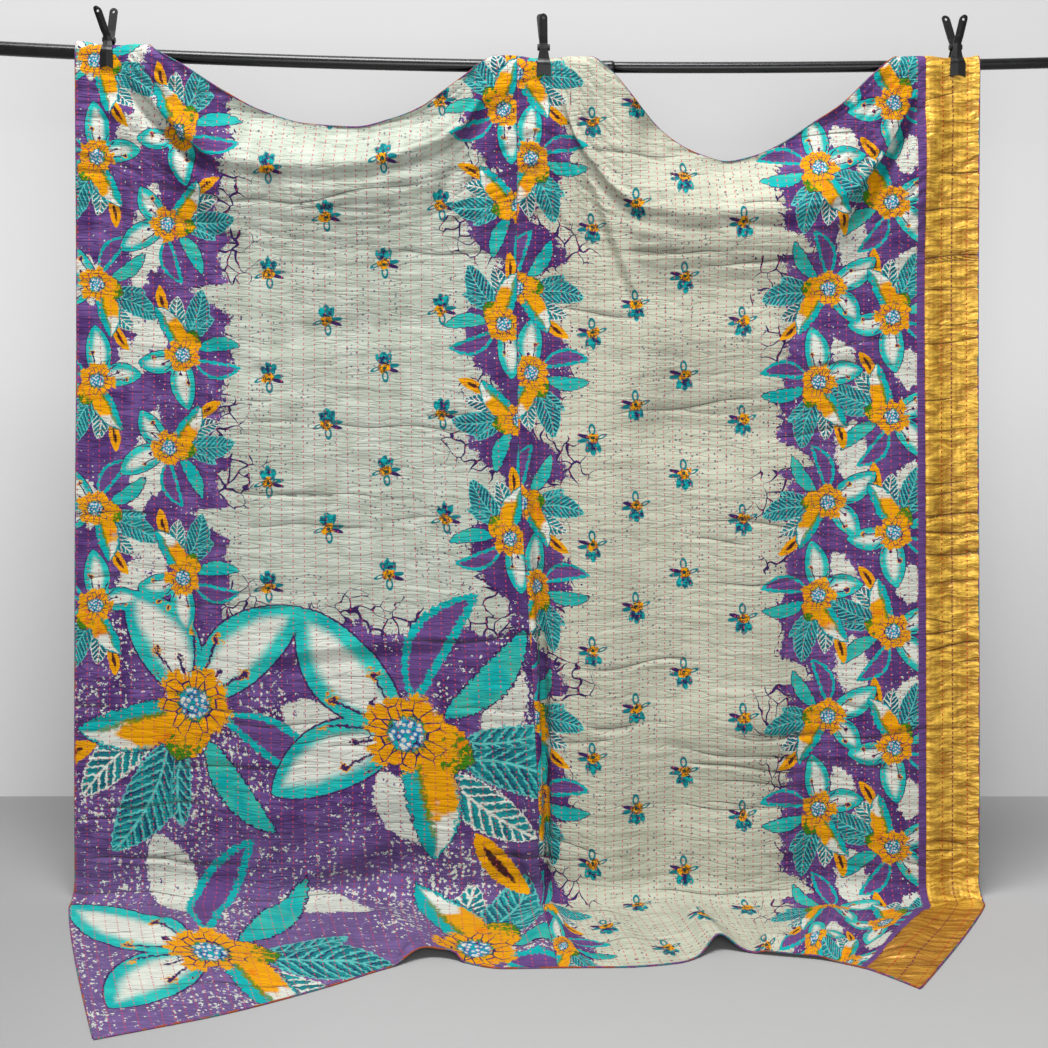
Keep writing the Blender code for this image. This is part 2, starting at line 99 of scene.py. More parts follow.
# x, drop of the crease under each swag
SWAG_CREASE = (
    (0.216, 0.030), (0.298, 0.043), (0.364, 0.095), (0.440, 0.162), (0.500, 0.208),
    (0.652, 0.216), (0.772, 0.208), (0.892, 0.174), (0.976, 0.128), (1.032, 0.050),
    (1.110, 0.020), (1.162, 0.036), (1.206, 0.144), (1.284, 0.246), (1.332, 0.282),
    (1.452, 0.296), (1.624, 0.292), (1.720, 0.262), (1.796, 0.190), (1.854, 0.097),
    (1.890, 0.036), (1.999, 0.030),
)
SWAG_EASE = 0.140
CREASE_FADE = 0.110
LEAN_FROM_DROP = 0.030
LEAN_TO_DROP = 0.100
# swag's ends, how far its hem leans back, how far its crease stands forward
SWAGS = (
    (0.360, 1.040, 0.036, 0.026),
    (1.230, 1.835, 0.044, 0.032),
)
FREE_FROM_DROP = 0.045
FREE_TO_DROP = 0.120
PULL_FROM_DROP = 0.300
HANG_DROP = 1.650
FOLD_FADE = 0.3
# x and drop of one end, of the other end, half width, push towards the viewer
FOLDS = (
    (0.290, 0.040, 0.505, 0.235, 0.024, -0.012),
    (0.270, 0.070, 0.470, 0.300, 0.034, 0.009),
    (1.100, 0.030, 0.985, 0.140, 0.022, -0.010),
    (1.150, 0.030, 1.215, 0.190, 0.020, -0.011),
    (1.215, 0.190, 1.340, 0.500, 0.034, -0.010),
    (1.130, 0.060, 1.170, 0.420, 0.036, 0.013),
    (1.895, 0.040, 1.735, 0.330, 0.026, -0.012),
    (1.735, 0.330, 1.620, 0.540, 0.036, -0.008),
    (1.925, 0.060, 1.840, 0.400, 0.032, 0.010),
    (0.560, 0.300, 0.600, 1.950, 0.085, 0.012),
    (0.420, 0.450, 0.390, 1.950, 0.070, -0.010),
    (0.780, 0.320, 0.740, 1.950, 0.080, -0.010),
    (0.960, 0.300, 0.925, 1.950, 0.070, 0.012),
    (1.250, 0.560, 1.265, 1.950, 0.060, 0.016),
    (1.400, 0.420, 1.385, 1.950, 0.070, -0.012),
    (1.560, 0.420, 1.530, 1.950, 0.075, 0.014),
    (1.710, 0.600, 1.680, 1.950, 0.060, -0.013),
    (1.850, 0.500, 1.850, 1.950, 0.060, 0.010),
    (0.250, 0.600, 0.250, 1.950, 0.055, 0.009),
    (0.690, 1.660, 0.900, 1.560, 0.028, -0.012),
    (0.560, 1.500, 0.860, 1.440, 0.050, 0.009),
    (1.128, 0.950, 1.140, 2.100, 0.022, -0.024),
)
SEAM_DRIFT = 0.046
DRIFT_FROM_X = 0.560
DRIFT_SEAM_X = 1.086
DRIFT_FOLD_X = 1.156
DRIFT_FROM_DROP = 0.550
FLOOR_TURN = 1.1
HUMP_EASE = 0.12
# x of the cloth as it hangs, x of the bottom hem, how far out the hem lies
BOTTOM_HEM = (
    (0.216, 0.411, 0.631), (0.312, 0.486, 0.598), (0.452, 0.602, 0.545), (0.652, 0.757, 0.449),
    (0.780, 0.860, 0.372), (0.872, 0.938, 0.330), (1.000, 1.064, 0.374), (1.086, 1.160, 0.371),
    (1.232, 1.276, 0.369), (1.322, 1.376, 0.352), (1.430, 1.462, 0.300), (1.532, 1.540, 0.318),
    (1.712, 1.632, 0.338), (1.893, 1.704, 0.374), (1.999, 1.780, 0.453),
)
# x and distance out of one end, of the other end, half width, height
HUMPS = (
    (1.462, 0.330, 1.415, 0.150, 0.030, 0.030),
    (1.545, 0.285, 1.640, 0.300, 0.030, 0.022),
    (0.905, 0.330, 0.960, 0.345, 0.034, 0.018),
    (0.820, 0.150, 0.930, 0.300, 0.040, 0.014),
    (1.148, 0.110, 1.130, 0.340, 0.028, 0.018),
    (0.430, 0.200, 0.600, 0.120, 0.050, 0.010),
    (0.560, 0.420, 0.760, 0.300, 0.050, 0.009),
    (1.250, 0.120, 1.300, 0.330, 0.036, 0.013),
    (1.690, 0.130, 1.660, 0.320, 0.036, 0.020),
    (1.850, 0.130, 1.780, 0.330, 0.040, 0.014),
)
# name, x, pivot height, jaw reach, jaw half width, front top, front lean, back top, back lean
CLIPS = (
    ("left", 0.277, 0.0275, 0.031, 0.0125, 0.089, -0.0170, 0.096, 0.0030),
    ("centre", 1.139, 0.0380, 0.022, 0.0140, 0.100, -0.0010, 0.109, -0.0065),
    ("right", 1.956, 0.0350, 0.026, 0.0150, 0.094, 0.0090, 0.103, -0.0140),
)

# --- the cloth's own detail --------------------------------------------------------------------
ROWS = 520
BACK_ROWS = 230
BACK_COLUMN_STEP = 0.0105
BACK_PUFF = 0.0012
NORMAL_STEP = 0.004
# Stitch rows: their pitch across each panel, four columns of the mesh to a row.
LEFT_PITCH = 0.0212
RIGHT_PITCH = 0.0171
GOLD_PITCH = 0.0092
COLUMNS_PER_ROW = 4
CHANNEL_DEPTH = 0.0004
RIPPLE_HEIGHT = 0.0022
SWAG_RIPPLE_HEIGHT = 0.0030
FAN_HEIGHT = 0.0022
FAN_REACH = 0.30
FAN_ABOVE = 0.05
OVERHANG_AWAY = 0.120
OVERHANG_SPREAD = 0.110
OVERHANG_LEAST = 0.48
OVERHANG_HEIGHT = 0.008
OVERHANG_DEPTH = 0.013
RIDGE_ABOVE = 0.006
RIDGE_HALF_WIDTH = 0.011
HOLLOW_BELOW = 0.019
HOLLOW_HALF_WIDTH = 0.015
GOLD_RIPPLE_HEIGHT = 0.0024
# Ripples: how long they are across the cloth, how long down it, and their seed
PRINT_RIPPLES = (0.085, 0.0165, 31)
GOLD_RIPPLES = (0.034, 0.0125, 77)
RIPPLE_BEND = 0.012
RIPPLE_BEND_SIZE = (0.19, 0.11)
# Fine creases: the seed and count of each cloth's, and the ranges that they are drawn from
PRINT_CREASES = (53, 130)
GOLD_CREASES = (54, 34)
CREASE_DEPTH = 0.0026
CREASE_DROPS = (0.02, 2.1)
CREASE_HALF_LENGTHS = (0.03, 0.20)
CREASE_TILT = 0.07
CREASE_HALF_WIDTHS = (0.0035, 0.0060)
CREASE_WAVE = 0.004
CREASE_WAVE_LENGTH = 0.031
GATHER_SIZE = (0.13, 0.015)
GATHER_EASE = (0.12, 0.55)
GATHER_FADE_IN = (-0.10, 0.02)
GATHER_FADE_OUT = (0.26, 0.50)
GATHER_SEED = 91
FAN_SIZE = (0.13, 0.11)
FAN_SEED = 17
OVER_ROD_EASE = (-0.045, 0.03)
OVER_ROD_LEAST = 0.25
STITCH_SPACING = 0.0102
RELIEF_FLOOR = 0.0026
FLOOR_CLEAR_FROM = 0.012
FLOOR_CLEAR_TO = 0.060
# Main creases and tucks. along and run of one end, of the other end, half width, push
CREASES = (
    (0.600, 1.700, 0.830, 1.560, 0.020, -0.010),
    (0.560, 1.660, 0.800, 1.530, 0.030, 0.008),
    (1.118, 0.600, 1.124, 1.600, 0.010, -0.012),
    (1.090, 0.700, 1.098, 1.500, 0.012, 0.006),
    (1.150, 0.060, 1.330, 0.520, 0.012, -0.010),
    (1.175, 0.060, 1.360, 0.540, 0.016, 0.009),
    (0.300, 0.060, 0.490, 0.240, 0.012, -0.009),
    (0.320, 0.040, 0.505, 0.205, 0.015, 0.007),
    (0.300, 0.130, 0.560, 0.420, 0.020, -0.005),
    (1.020, 0.090, 0.900, 0.330, 0.014, -0.007),
    (1.880, 0.080, 1.735, 0.350, 0.012, -0.014),
    (1.858, 0.060, 1.708, 0.320, 0.015, 0.010),
    (1.160, 0.130, 1.190, 0.560, 0.014, -0.006),
    (0.520, 0.560, 0.980, 0.500, 0.030, -0.005),
    (1.040, 1.520, 1.112, 1.700, 0.013, 0.013),
    (1.076, 1.500, 1.135, 1.690, 0.010, -0.010),
    (0.300, 0.500, 0.620, 0.640, 0.022, -0.005),
    (0.560, 1.180, 0.980, 1.120, 0.016, 0.005),
    (0.560, 1.205, 0.980, 1.148, 0.014, -0.005),
    (1.240, 0.700, 1.640, 0.820, 0.030, -0.005),
    (1.370, 0.520, 1.600, 0.540, 0.060, 0.012),
    (1.370, 0.700, 1.600, 0.720, 0.060, -0.012),
    (1.390, 1.300, 1.600, 1.280, 0.050, 0.009),
    (1.390, 1.460, 1.600, 1.440, 0.050, -0.009),
    (1.120, 0.300, 1.200, 0.340, 0.040, -0.006),
)
SEAM_DIP = 0.0012
SEAM_HALF_WIDTH = 0.004
CLIP_CLEAR_X = 0.024
CLIP_CLEAR_RUN = 0.050
HEM_ROUND = 0.0016
HEM_TURNS = 7
HEM_STEP = 0.005
FIRST_ROW_SHARE = 0.6
FRONT_STITCH_SEED = 60
BACK_STITCH_SEED = 61
ROD_SIDES = 56
ROD_STEP = 0.030
ROD_JOINT_GAP = 0.0003
ROD_ROUND = 0.0012
ROD_SHARP_ANGLE = math.radians(50.0)
CLIP_BEVEL = 0.0006
CLIP_BEVEL_ANGLE = math.radians(35.0)


# --- the part's surface, on arrays -------------------------------------------------------------

def smooth(value, low=0.0, high=1.0):
    share = np.clip((value - low) / (high - low), 0.0, 1.0)
    return share * share * (3.0 - 2.0 * share)


def along(table, x, column=1):
    """A table's value at x, on a smooth curve through its rows (monotone between them)."""
    places = np.array([row[0] for row in table])
    values = np.array([row[column] for row in table])
    rises = np.diff(values) / np.diff(places)
    slopes = np.zeros(len(places))
    before, after = rises[:-1], rises[1:]
    both = before * after > 0.0
    slopes[1:-1][both] = 2.0 * before[both] * after[both] / (before[both] + after[both])
    x = np.clip(x, places[0], places[-1])
    at = np.clip(np.searchsorted(places, x, side="left") - 1, 0, len(places) - 2)
    span = places[at + 1] - places[at]
    s = (x - places[at]) / span
    return ((1 + 2 * s) * (1 - s) ** 2 * values[at] + s * (1 - s) ** 2 * span * slopes[at]
            + s * s * (3 - 2 * s) * values[at + 1] + s * s * (s - 1) * span * slopes[at + 1])


def off_line(x, y, x0, y0, x1, y1, half_width):
    """A soft bump along a straight line: 1 on it, 0 a few half widths off or past its ends."""
    dx, dy = x1 - x0, y1 - y0
    length = math.hypot(dx, dy)
    place = ((x - x0) * dx + (y - y0) * dy) / length
    side = ((x - x0) * dy - (y - y0) * dx) / length
    past = np.maximum(np.maximum(-place, place - length), 0.0)
    fade = FOLD_FADE * length
    ease = smooth(place + half_width, 0.0, fade) * smooth(length + half_width - place, 0.0, fade)
    return np.exp(-(side / half_width) ** 2 - (past / half_width) ** 2) * ease


def rod_z(x):
    share = x / ROD_LENGTH
    return -ROD_DROP * share - 4.0 * ROD_SAG * share * (1.0 - share)


def rod_radius(x):
    left, middle, right = (section[3] for section in ROD_SECTIONS)
    widest = middle + ROD_LIP_HEIGHT
    first = left + (widest - left) * smooth(x, *FIRST_EASE)
    return first + (right - widest) * smooth(x, *SECOND_EASE)


def wrap_radius(x):
    away = np.min([np.abs(x - clip[1]) for clip in CLIPS], axis=0)
    standoff = ROD_STANDOFF * smooth(away, STANDOFF_FROM, STANDOFF_TO)
    return rod_radius(x) + ROD_CLEARANCE + standoff + THICKNESS / 2


def swag_lean(x, drop, hem_drop):
    crease = along(SWAG_CREASE, x)
    depth = np.maximum(crease - hem_drop, 0.02)
    above = smooth((crease - drop) / depth)
    push = np.zeros(np.broadcast(x, drop).shape)
    for start, end, back, forward in SWAGS:
        inside = smooth(x, start, start + SWAG_EASE) * smooth(end - x, 0.0, SWAG_EASE)
        lean = back * smooth(hem_drop, LEAN_FROM_DROP, LEAN_TO_DROP)
        upper = forward * (1.0 - above) - lean * above
        lower = forward * np.exp(-((drop - crease) / CREASE_FADE) ** 2)
        push = push + inside * np.where(drop < crease, upper, lower)
    return push


def hang_push(x, drop, hem_drop):
    folds = sum(push * off_line(x, drop, x0, d0, x1, d1, width)
                for x0, d0, x1, d1, width, push in FOLDS)
    free = smooth(drop, FREE_FROM_DROP, FREE_TO_DROP)
    pull = FLOOR_PULL * smooth(drop, PULL_FROM_DROP, HANG_DROP)
    return pull + free * (folds + swag_lean(x, drop, hem_drop))


def drift(x, drop):
    before = smooth(x, DRIFT_FROM_X, DRIFT_SEAM_X)
    after = 1.0 - np.clip((x - DRIFT_SEAM_X) / (DRIFT_FOLD_X - DRIFT_SEAM_X), 0.0, 1.0)
    share = np.where(x < DRIFT_SEAM_X, before, after)
    return SEAM_DRIFT * share * smooth(drop, DRIFT_FROM_DROP, HANG_DROP)


def column(x):
    """Each column's reach, height, bend start and end, foot, hem place and length on the floor."""
    reach = along(TOP_HEM, x)
    height = rod_z(x) - FLOOR_Z - THICKNESS / 2
    bend_start = reach + height - BEND_RADIUS
    bend_end = bend_start + BEND_RADIUS * math.pi / 2
    foot_y = -wrap_radius(x) - hang_push(x, height, np.zeros_like(x)) - BEND_RADIUS
    hem_x = along(BOTTOM_HEM, x)
    out = along(BOTTOM_HEM, x, 2)
    flat = np.hypot(hem_x - x - drift(x, height), out + foot_y)
    return reach, height, bend_start, bend_end, foot_y, hem_x, out, flat


def quilt_points(x, run):
    """The quilt's middle surface at columns x, a run down the cloth below the rod's axis."""
    x, run = np.broadcast_arrays(x, run)
    reach, height, bend_start, bend_end, foot_y, hem_x, out, flat = column(x)
    length = run + reach
    radius = wrap_radius(x)
    behind = np.stack([x, radius, rod_z(x) + run + math.pi * radius], -1)
    turn = np.clip(-run / radius, 0.0, math.pi)
    over = np.stack([x, -radius * np.cos(turn), rod_z(x) + radius * np.sin(turn)], -1)
    front = -radius - hang_push(x, np.minimum(run, height), np.maximum(-reach, 0.0))
    hanging = np.stack([x + drift(x, run), front, rod_z(x) - run], -1)
    foot = -radius - hang_push(x, np.minimum(run, height), np.zeros_like(x))
    angle = np.clip((length - bend_start) / BEND_RADIUS, 0.0, math.pi / 2)
    bending = np.stack([x + drift(x, height), foot - BEND_RADIUS * (1.0 - np.cos(angle)),
                        FLOOR_Z + THICKNESS / 2 + BEND_RADIUS * (1.0 - np.sin(angle))], -1)
    share = np.clip((length - bend_end) / flat, 0.0, 1.0)
    start_x = x + drift(x, height)
    place_x = start_x + (hem_x - start_x) * share ** FLOOR_TURN
    away = -foot_y + (out + foot_y) * share
    lift = sum(high * off_line(place_x, away, x0, a0, x1, a1, width)
               for x0, a0, x1, a1, width, high in HUMPS)
    lying = np.stack([place_x, -away,
                      FLOOR_Z + THICKNESS / 2 + lift * smooth(share, 0.0, HUMP_EASE)], -1)
    points = np.where((run < 0.0)[..., None], over, hanging)
    points = np.where((run < -math.pi * radius)[..., None], behind, points)
    points = np.where((length >= bend_start)[..., None], bending, points)
    return np.where((length >= bend_end)[..., None], lying, points)


def run_ends(x):
    """The run at the top and at the bottom hem of columns x."""
    reach, _height, _start, bend_end, _foot, _hem, _out, flat = column(x)
    return -reach, bend_end + flat - reach


def quilt_normals(x, run):
    across = quilt_points(x + NORMAL_STEP, run) - quilt_points(x - NORMAL_STEP, run)
    down = quilt_points(x, run + NORMAL_STEP) - quilt_points(x, run - NORMAL_STEP)
    normal = np.cross(down, across)
    return normal / np.linalg.norm(normal, axis=-1, keepdims=True)


# --- the wrinkles that quilting leaves ---------------------------------------------------------

def lattice_noise(x, y, seed):
    """Smooth noise between -1 and 1 with features one unit wide, the same on each run."""
    corners = np.random.default_rng(seed).uniform(-1.0, 1.0, (256, 256))
    i, j = np.floor(x).astype(int), np.floor(y).astype(int)
    s, t = smooth(x - i), smooth(y - j)
    low = corners[i % 256, j % 256] * (1 - s) + corners[(i + 1) % 256, j % 256] * s
    high = corners[i % 256, (j + 1) % 256] * (1 - s) + corners[(i + 1) % 256, (j + 1) % 256] * s
    return low * (1 - t) + high * t


def puffs(noise, valley):
    """Rounded puffs, about 1 high, with a narrow valley wherever the noise passes through 0."""
    return 1.0 - np.exp(-(np.abs(noise) / valley) ** 1.4)


def ripples(x, run, across, down, seed):
    """Wrinkles that lie across the cloth: long across it, short down it, bending a little."""
    wide, high = RIPPLE_BEND_SIZE
    bend = RIPPLE_BEND * lattice_noise(x / wide, run / high, seed + 1)
    broad = lattice_noise(x / across, (run + bend) / down, seed)
    fine = lattice_noise(x / (0.55 * across) + 9.1, (run - bend) / (0.62 * down), seed + 2)
    return 0.6 * (puffs(broad, 0.20) - 0.7) + 0.25 * (puffs(fine, 0.25) - 0.65) + 0.35 * broad


def gathers(x, run):
    """Wrinkles that fan out from the clips and follow the round of the swags."""
    swung = run - along(SWAG_CREASE, x) * (1.0 - smooth(run, *GATHER_EASE))
    round_swag = lattice_noise(x / GATHER_SIZE[0], swung / GATHER_SIZE[1], GATHER_SEED)
    strength = smooth(run, *GATHER_FADE_IN) * (1.0 - smooth(run, *GATHER_FADE_OUT))
    height = SWAG_RIPPLE_HEIGHT * strength * (puffs(round_swag, 0.25) - 0.65)
    for clip in CLIPS:
        dx, down = x - clip[1], run + FAN_ABOVE
        away = np.hypot(dx, down)
        angle = np.arctan2(dx, down)
        fan = lattice_noise(angle / FAN_SIZE[0] + 7.0, away / FAN_SIZE[1], FAN_SEED)
        height = height + FAN_HEIGHT * (puffs(fan, 0.3) - 0.6) * smooth(away, 0.03, 0.07) * (
            1.0 - smooth(away, 0.10, FAN_REACH))
    return height


def fine_creases(x, run, left, right, seed, count):
    """Sharper short creases across the cloth, here and there.

    Gives their relief, the distance from the strongest crease's line and how strong it is.
    """
    chance = np.random.default_rng(seed)
    relief = np.zeros(np.broadcast(x, run).shape)
    line, mark = np.full(relief.shape, FAR), np.zeros(relief.shape)
    for _ in range(count):
        middle = chance.uniform(left, right)
        drop = chance.uniform(*CREASE_DROPS)
        half_length = chance.uniform(*CREASE_HALF_LENGTHS)
        tilt = chance.normal(0.0, CREASE_TILT)
        half_width = chance.uniform(*CREASE_HALF_WIDTHS)
        depth = CREASE_DEPTH * chance.uniform(0.3, 1.0)
        wave = CREASE_WAVE * np.sin((x - middle) / CREASE_WAVE_LENGTH + drop * 40.0)
        level = drop + tilt * (x - middle) + wave
        near = np.exp(-((run - level) / half_width) ** 2)
        ends = smooth(half_length - np.abs(x - middle), 0.0, 0.6 * half_length)
        shoulder = np.exp(-((run - level - 2.2 * half_width) / (1.6 * half_width)) ** 2)
        relief += depth * ends * (0.5 * shoulder - near)
        strength = ends * near * depth / CREASE_DEPTH
        line = np.where(strength > mark, run - level, line)
        mark = np.maximum(mark, strength)
    return relief, line, mark


def clip_ease(x, run):
    """0 where the clips pinch the cloth flat, 1 away from them."""
    ease = np.ones(np.broadcast(x, run).shape)
    for clip in CLIPS:
        beside = smooth(np.abs(x - clip[1]), 0.5 * CLIP_CLEAR_X, CLIP_CLEAR_X)
        below = smooth(run, 0.7 * CLIP_CLEAR_RUN, CLIP_CLEAR_RUN)
        ease = ease * np.maximum(beside, below)
    return ease


def main_creases(x, run):
    """The cloth's main creases beyond the part's own folds, as a push along its normal."""
    crease = along(SWAG_CREASE, x)
    beside = np.max([np.exp(-((np.abs(x - clip[1]) - OVERHANG_AWAY) / OVERHANG_SPREAD) ** 2)
                     for clip in CLIPS], axis=0)
    beside = np.maximum(beside, OVERHANG_LEAST)
    ridge = np.exp(-((run - crease + RIDGE_ABOVE) / RIDGE_HALF_WIDTH) ** 2)
    hollow = np.exp(-((run - crease - HOLLOW_BELOW) / HOLLOW_HALF_WIDTH) ** 2)
    push = beside * (OVERHANG_HEIGHT * ridge - OVERHANG_DEPTH * hollow)
    for x0, run0, x1, run1, half_width, high in CREASES:
        push = push + high * off_line(x, run, x0, run0, x1, run1, half_width)
    return push * smooth(run, FREE_FROM_DROP, FREE_TO_DROP) * clip_ease(x, run)


def cloth_points(x, run):
    """The middle surface with its main creases, and its normals."""
    normals = quilt_normals(x, run)
    points = quilt_points(x, run)
    clear = smooth(points[..., 2] - FLOOR_Z, FLOOR_CLEAR_FROM, FLOOR_CLEAR_TO)
    return points + normals * (main_creases(x, run) * clear)[..., None], normals


def relief(x, run, pitch, first_row, gold):
    """How far the front's puffs and wrinkles stand out, and the fields of the wrinkles."""
    if gold:
        wrinkles = GOLD_RIPPLE_HEIGHT * ripples(x, run, *GOLD_RIPPLES)
        creases, line, mark = fine_creases(x, run, GOLD_SEAM_X, RIGHT_EDGE, *GOLD_CREASES)
    else:
        wrinkles = RIPPLE_HEIGHT * ripples(x, run, *PRINT_RIPPLES) + gathers(x, run)
        creases, line, mark = fine_creases(x, run, LEFT_EDGE, GOLD_SEAM_X, *PRINT_CREASES)
    wrinkles = wrinkles + creases
    channel = np.abs(np.sin(math.pi * (x - first_row) / pitch)) ** 0.7
    height = wrinkles + CHANNEL_DEPTH * (channel - 0.6)
    for seam in (SEAM_X, GOLD_SEAM_X):
        height = height - SEAM_DIP * np.exp(-((x - seam) / SEAM_HALF_WIDTH) ** 2)
    over_rod = OVER_ROD_LEAST + (1.0 - OVER_ROD_LEAST) * smooth(run, *OVER_ROD_EASE)
    height = np.maximum(height * clip_ease(x, run) * over_rod, -RELIEF_FLOOR)
    return height, {"relief": wrinkles, "crease_line": line, "crease_mark": mark}


# --- the print, laid out in flat coordinates ---------------------------------------------------
# A bloom is one flower with its leaves. Each of its parts is a tapered shape from a base to a
# tip, both given as (angle from the long yellow petal, distance from the middle), in degrees and
# in millimetres of a border bloom, with the shape's full width and how far it bends, as a share
# of its length.
WHITE_PETALS = ((77, 5, 73, 90, 45, 0.07), (155, 5, 156, 110, 49, -0.05))
BIG_WHITE_PETALS = ((77, 5, 74, 118, 57, 0.06), (152, 5, 152, 134, 58, -0.06))
YELLOW_PETALS = ((0, 4, 0, 108, 42, -0.10), (-58, 0, -58, 56, 46, 0.0))
LEAF_SHAPES = {
    "solid_leaf": ((-96, 30, -109, 118, 27, 0.08),),
    "open_leaf": ((-146, 24, -130, 120, 35, -0.13),),
    "dark_leaf": ((-42, 38, -47, 136, 46, -0.08), (-62, 38, -70, 100, 26, 0.08)),
    "white_leaf": ((-20, 36, -26, 116, 36, 0.06),),
    "orange_leaf": ((-9, 84, -12, 144, 22, 0.06),),
}
# The fields that give a place in a shape: how far along it, and how far to one side
OWN_FIELDS = {"yellow": ("yellow_s", "yellow_t"), "dark_leaf": ("dark_s", "dark_t"),
              "white_leaf": ("white_s", "white_t")}
# The borders' repeats down the cloth.
LEFT_REPEAT = 0.442
RIGHT_REPEAT = 0.4235
# along, run of the first bloom, turn of its long petal (0 right, 90 up), 1 or -1 if mirrored, size
LEFT_BORDER_BLOOMS = (
    (0.256, 0.206, -63.0, 1, 1.0),
    (0.254, 0.458, -75.0, -1, 1.0),
    (0.424, 0.148, 120.0, 1, 1.0),
    (0.396, 0.333, 54.0, 1, 1.0),
)
LEFT_SEAM_BLOOMS = (
    (1.060, 0.088, 74.0, -1, 1.0),
    (1.090, 0.276, 135.0, -1, 1.0),
)
RIGHT_SEAM_BLOOMS = (
    (1.113, 0.184, -117.0, -1, 1.0),
    (1.084, 0.440, -55.0, -1, 1.0),
)
RIGHT_BORDER_BLOOMS = (
    (1.827, 0.270, 105.0, -1, 1.0),
    (1.829, 0.498, 117.0, 1, 1.0),
    (1.703, 0.440, 237.0, 1, 1.0),
    (1.684, 0.624, 302.0, 1, 1.0),
)
BORDER_FROM = -0.10
LEFT_BORDER_TO = 1.14
LEFT_SEAM_TO = 1.02
BORDER_TO = 2.20
# The left panel's end piece: along, run, turn, mirrored, size, how far its leaves are turned on
# and how much longer it is printed down the cloth than across
END_BLOOMS = (
    (0.448, 1.277, 195.0, -1, 2.15, 0.0, 1.0),
    (0.848, 1.325, 280.0, -1, 2.30, -13.0, 1.0),
    (0.465, 1.911, 297.0, -1, 2.30, -4.0, 1.25),
)
END_LEAF_REACH = 1.15
# The bloom that the bottom hem cuts: only its yellow petals and veined leaves are left
HEM_BLOOM = (0.953, 1.862, 113.0, 1, 2.20, 0.0, 1.1)
HEM_LEAF_REACH = 0.88
# How far the border's ragged edge stands out over one repeat, from a bloom of its inner column
BORDER_EDGE = (
    (0.0, 0.0), (0.046, 0.030), (0.123, 0.004), (0.196, 0.004), (0.25, 0.026), (0.275, -0.048),
    (0.342, -0.024), (0.40, 0.024), (0.493, 0.016), (0.594, 0.026), (0.70, 0.012),
    (0.795, 0.010), (0.886, 0.002), (0.954, -0.012), (1.0, 0.0),
)
# The same for the narrow strips beside the seam: how far each reaches from the seam
STRIP_EDGE = (
    (0.0, 0.104), (0.14, 0.094), (0.21, 0.072), (0.26, 0.048), (0.30, 0.034), (0.46, 0.036),
    (0.52, 0.100), (0.60, 0.086), (0.66, 0.064), (0.71, 0.030), (0.79, 0.034), (0.86, 0.080),
    (0.93, 0.088), (1.0, 0.104),
)
# Where the twigs of the crackle run out far from the edge, and how far
BORDER_TWIGS = (
    (0.0, 0.020), (0.03, 0.085), (0.24, 0.080), (0.29, 0.012), (0.74, 0.012), (0.79, 0.075),
    (0.92, 0.070), (0.97, 0.020), (1.0, 0.020),
)
STRIP_TWIGS = (
    (0.0, 0.014), (0.20, 0.020), (0.30, 0.085), (0.40, 0.060), (0.44, 0.012), (0.50, 0.070),
    (0.70, 0.080), (0.76, 0.020), (1.0, 0.014),
)
# White leaves left in the ground: along, run of the base, of the tip, full width
END_GHOSTS = (
    (0.622, 1.275, 0.750, 1.335, 0.080),
    (0.800, 1.400, 0.870, 1.540, 0.085),
    (0.995, 1.345, 1.066, 1.190, 0.075),
    (0.370, 1.540, 0.455, 1.740, 0.095),
    (0.620, 1.650, 0.780, 1.720, 0.080),
)
LEFT_GHOSTS = (
    (0.350, 0.300, 0.372, 0.430, 0.062),
    (0.330, 0.480, 0.372, 0.250, 0.050),
    (0.318, 0.470, 0.392, 0.600, 0.060),
    (0.245, 0.500, 0.236, 0.400, 0.044),
    (0.312, 0.205, 0.344, 0.110, 0.060),
)
RIGHT_GHOSTS = (
    (1.716, 0.540, 1.752, 0.620, 0.046),
    (1.760, 0.400, 1.745, 0.290, 0.060),
    (1.790, 0.600, 1.770, 0.680, 0.060),
    (1.850, 0.430, 1.872, 0.360, 0.056),
    (1.858, 0.640, 1.862, 0.560, 0.052),
    (1.752, 0.700, 1.738, 0.820, 0.056),
)
# The small sprigs of the field: along of a column, run of its first, step down it
LEFT_SPRIGS = tuple(
    (0.596 + 0.1135 * i, 0.218 - 0.0136 * i - 0.1028 * (i % 2), 0.2055) for i in range(4)
)
RIGHT_SPRIGS = (
    (1.236, 0.110, 0.2085), (1.322, 0.072, 0.1990), (1.418, 0.022, 0.1960), (1.532, 0.114, 0.1945),
)
LEFT_FIELD_END = 1.10
FAR = 1.0
BLOOM_REACH = 0.185
BASE_CURVE = 0.74
TIP_CURVE = 0.80
SHORT_PETAL = 0.080
SELVEDGE_X = 1.877
LEFT_BORDER_X = 0.494
RIGHT_BORDER_X = 1.628
RIGHT_YELLOWED = 0.6
END_PIECE_RUN = 1.125
END_TWIGS_FROM = 0.09
END_TWIG_REACH = 0.075
END_PIECE_EASE = (1.06, 1.14)
# The sprig's ellipses, each its middle, half width, half height and turn in degrees: the two
# side leaves, the thin leaf, the loop, the flower, its eye, then the cluster of leaves
SPRIG_ELLIPSES = (
    (0.0175, 0.0035, 0.0130, 0.0045, 8), (0.0165, -0.0045, 0.0135, 0.0038, -14),
    (-0.0170, -0.0045, 0.0100, 0.0034, 24), (0.0020, -0.0180, 0.0062, 0.0108, 4),
    (-0.0010, -0.0005, 0.0112, 0.0092, 24), (0.0006, -0.0015, 0.0038, 0.0032, 0),
    (-0.0078, 0.0140, 0.0066, 0.0125, 34), (0.0072, 0.0150, 0.0070, 0.0140, -26),
    (-0.0004, 0.0180, 0.0072, 0.0145, 4), (0.0005, 0.0105, 0.0125, 0.0085, 0),
)
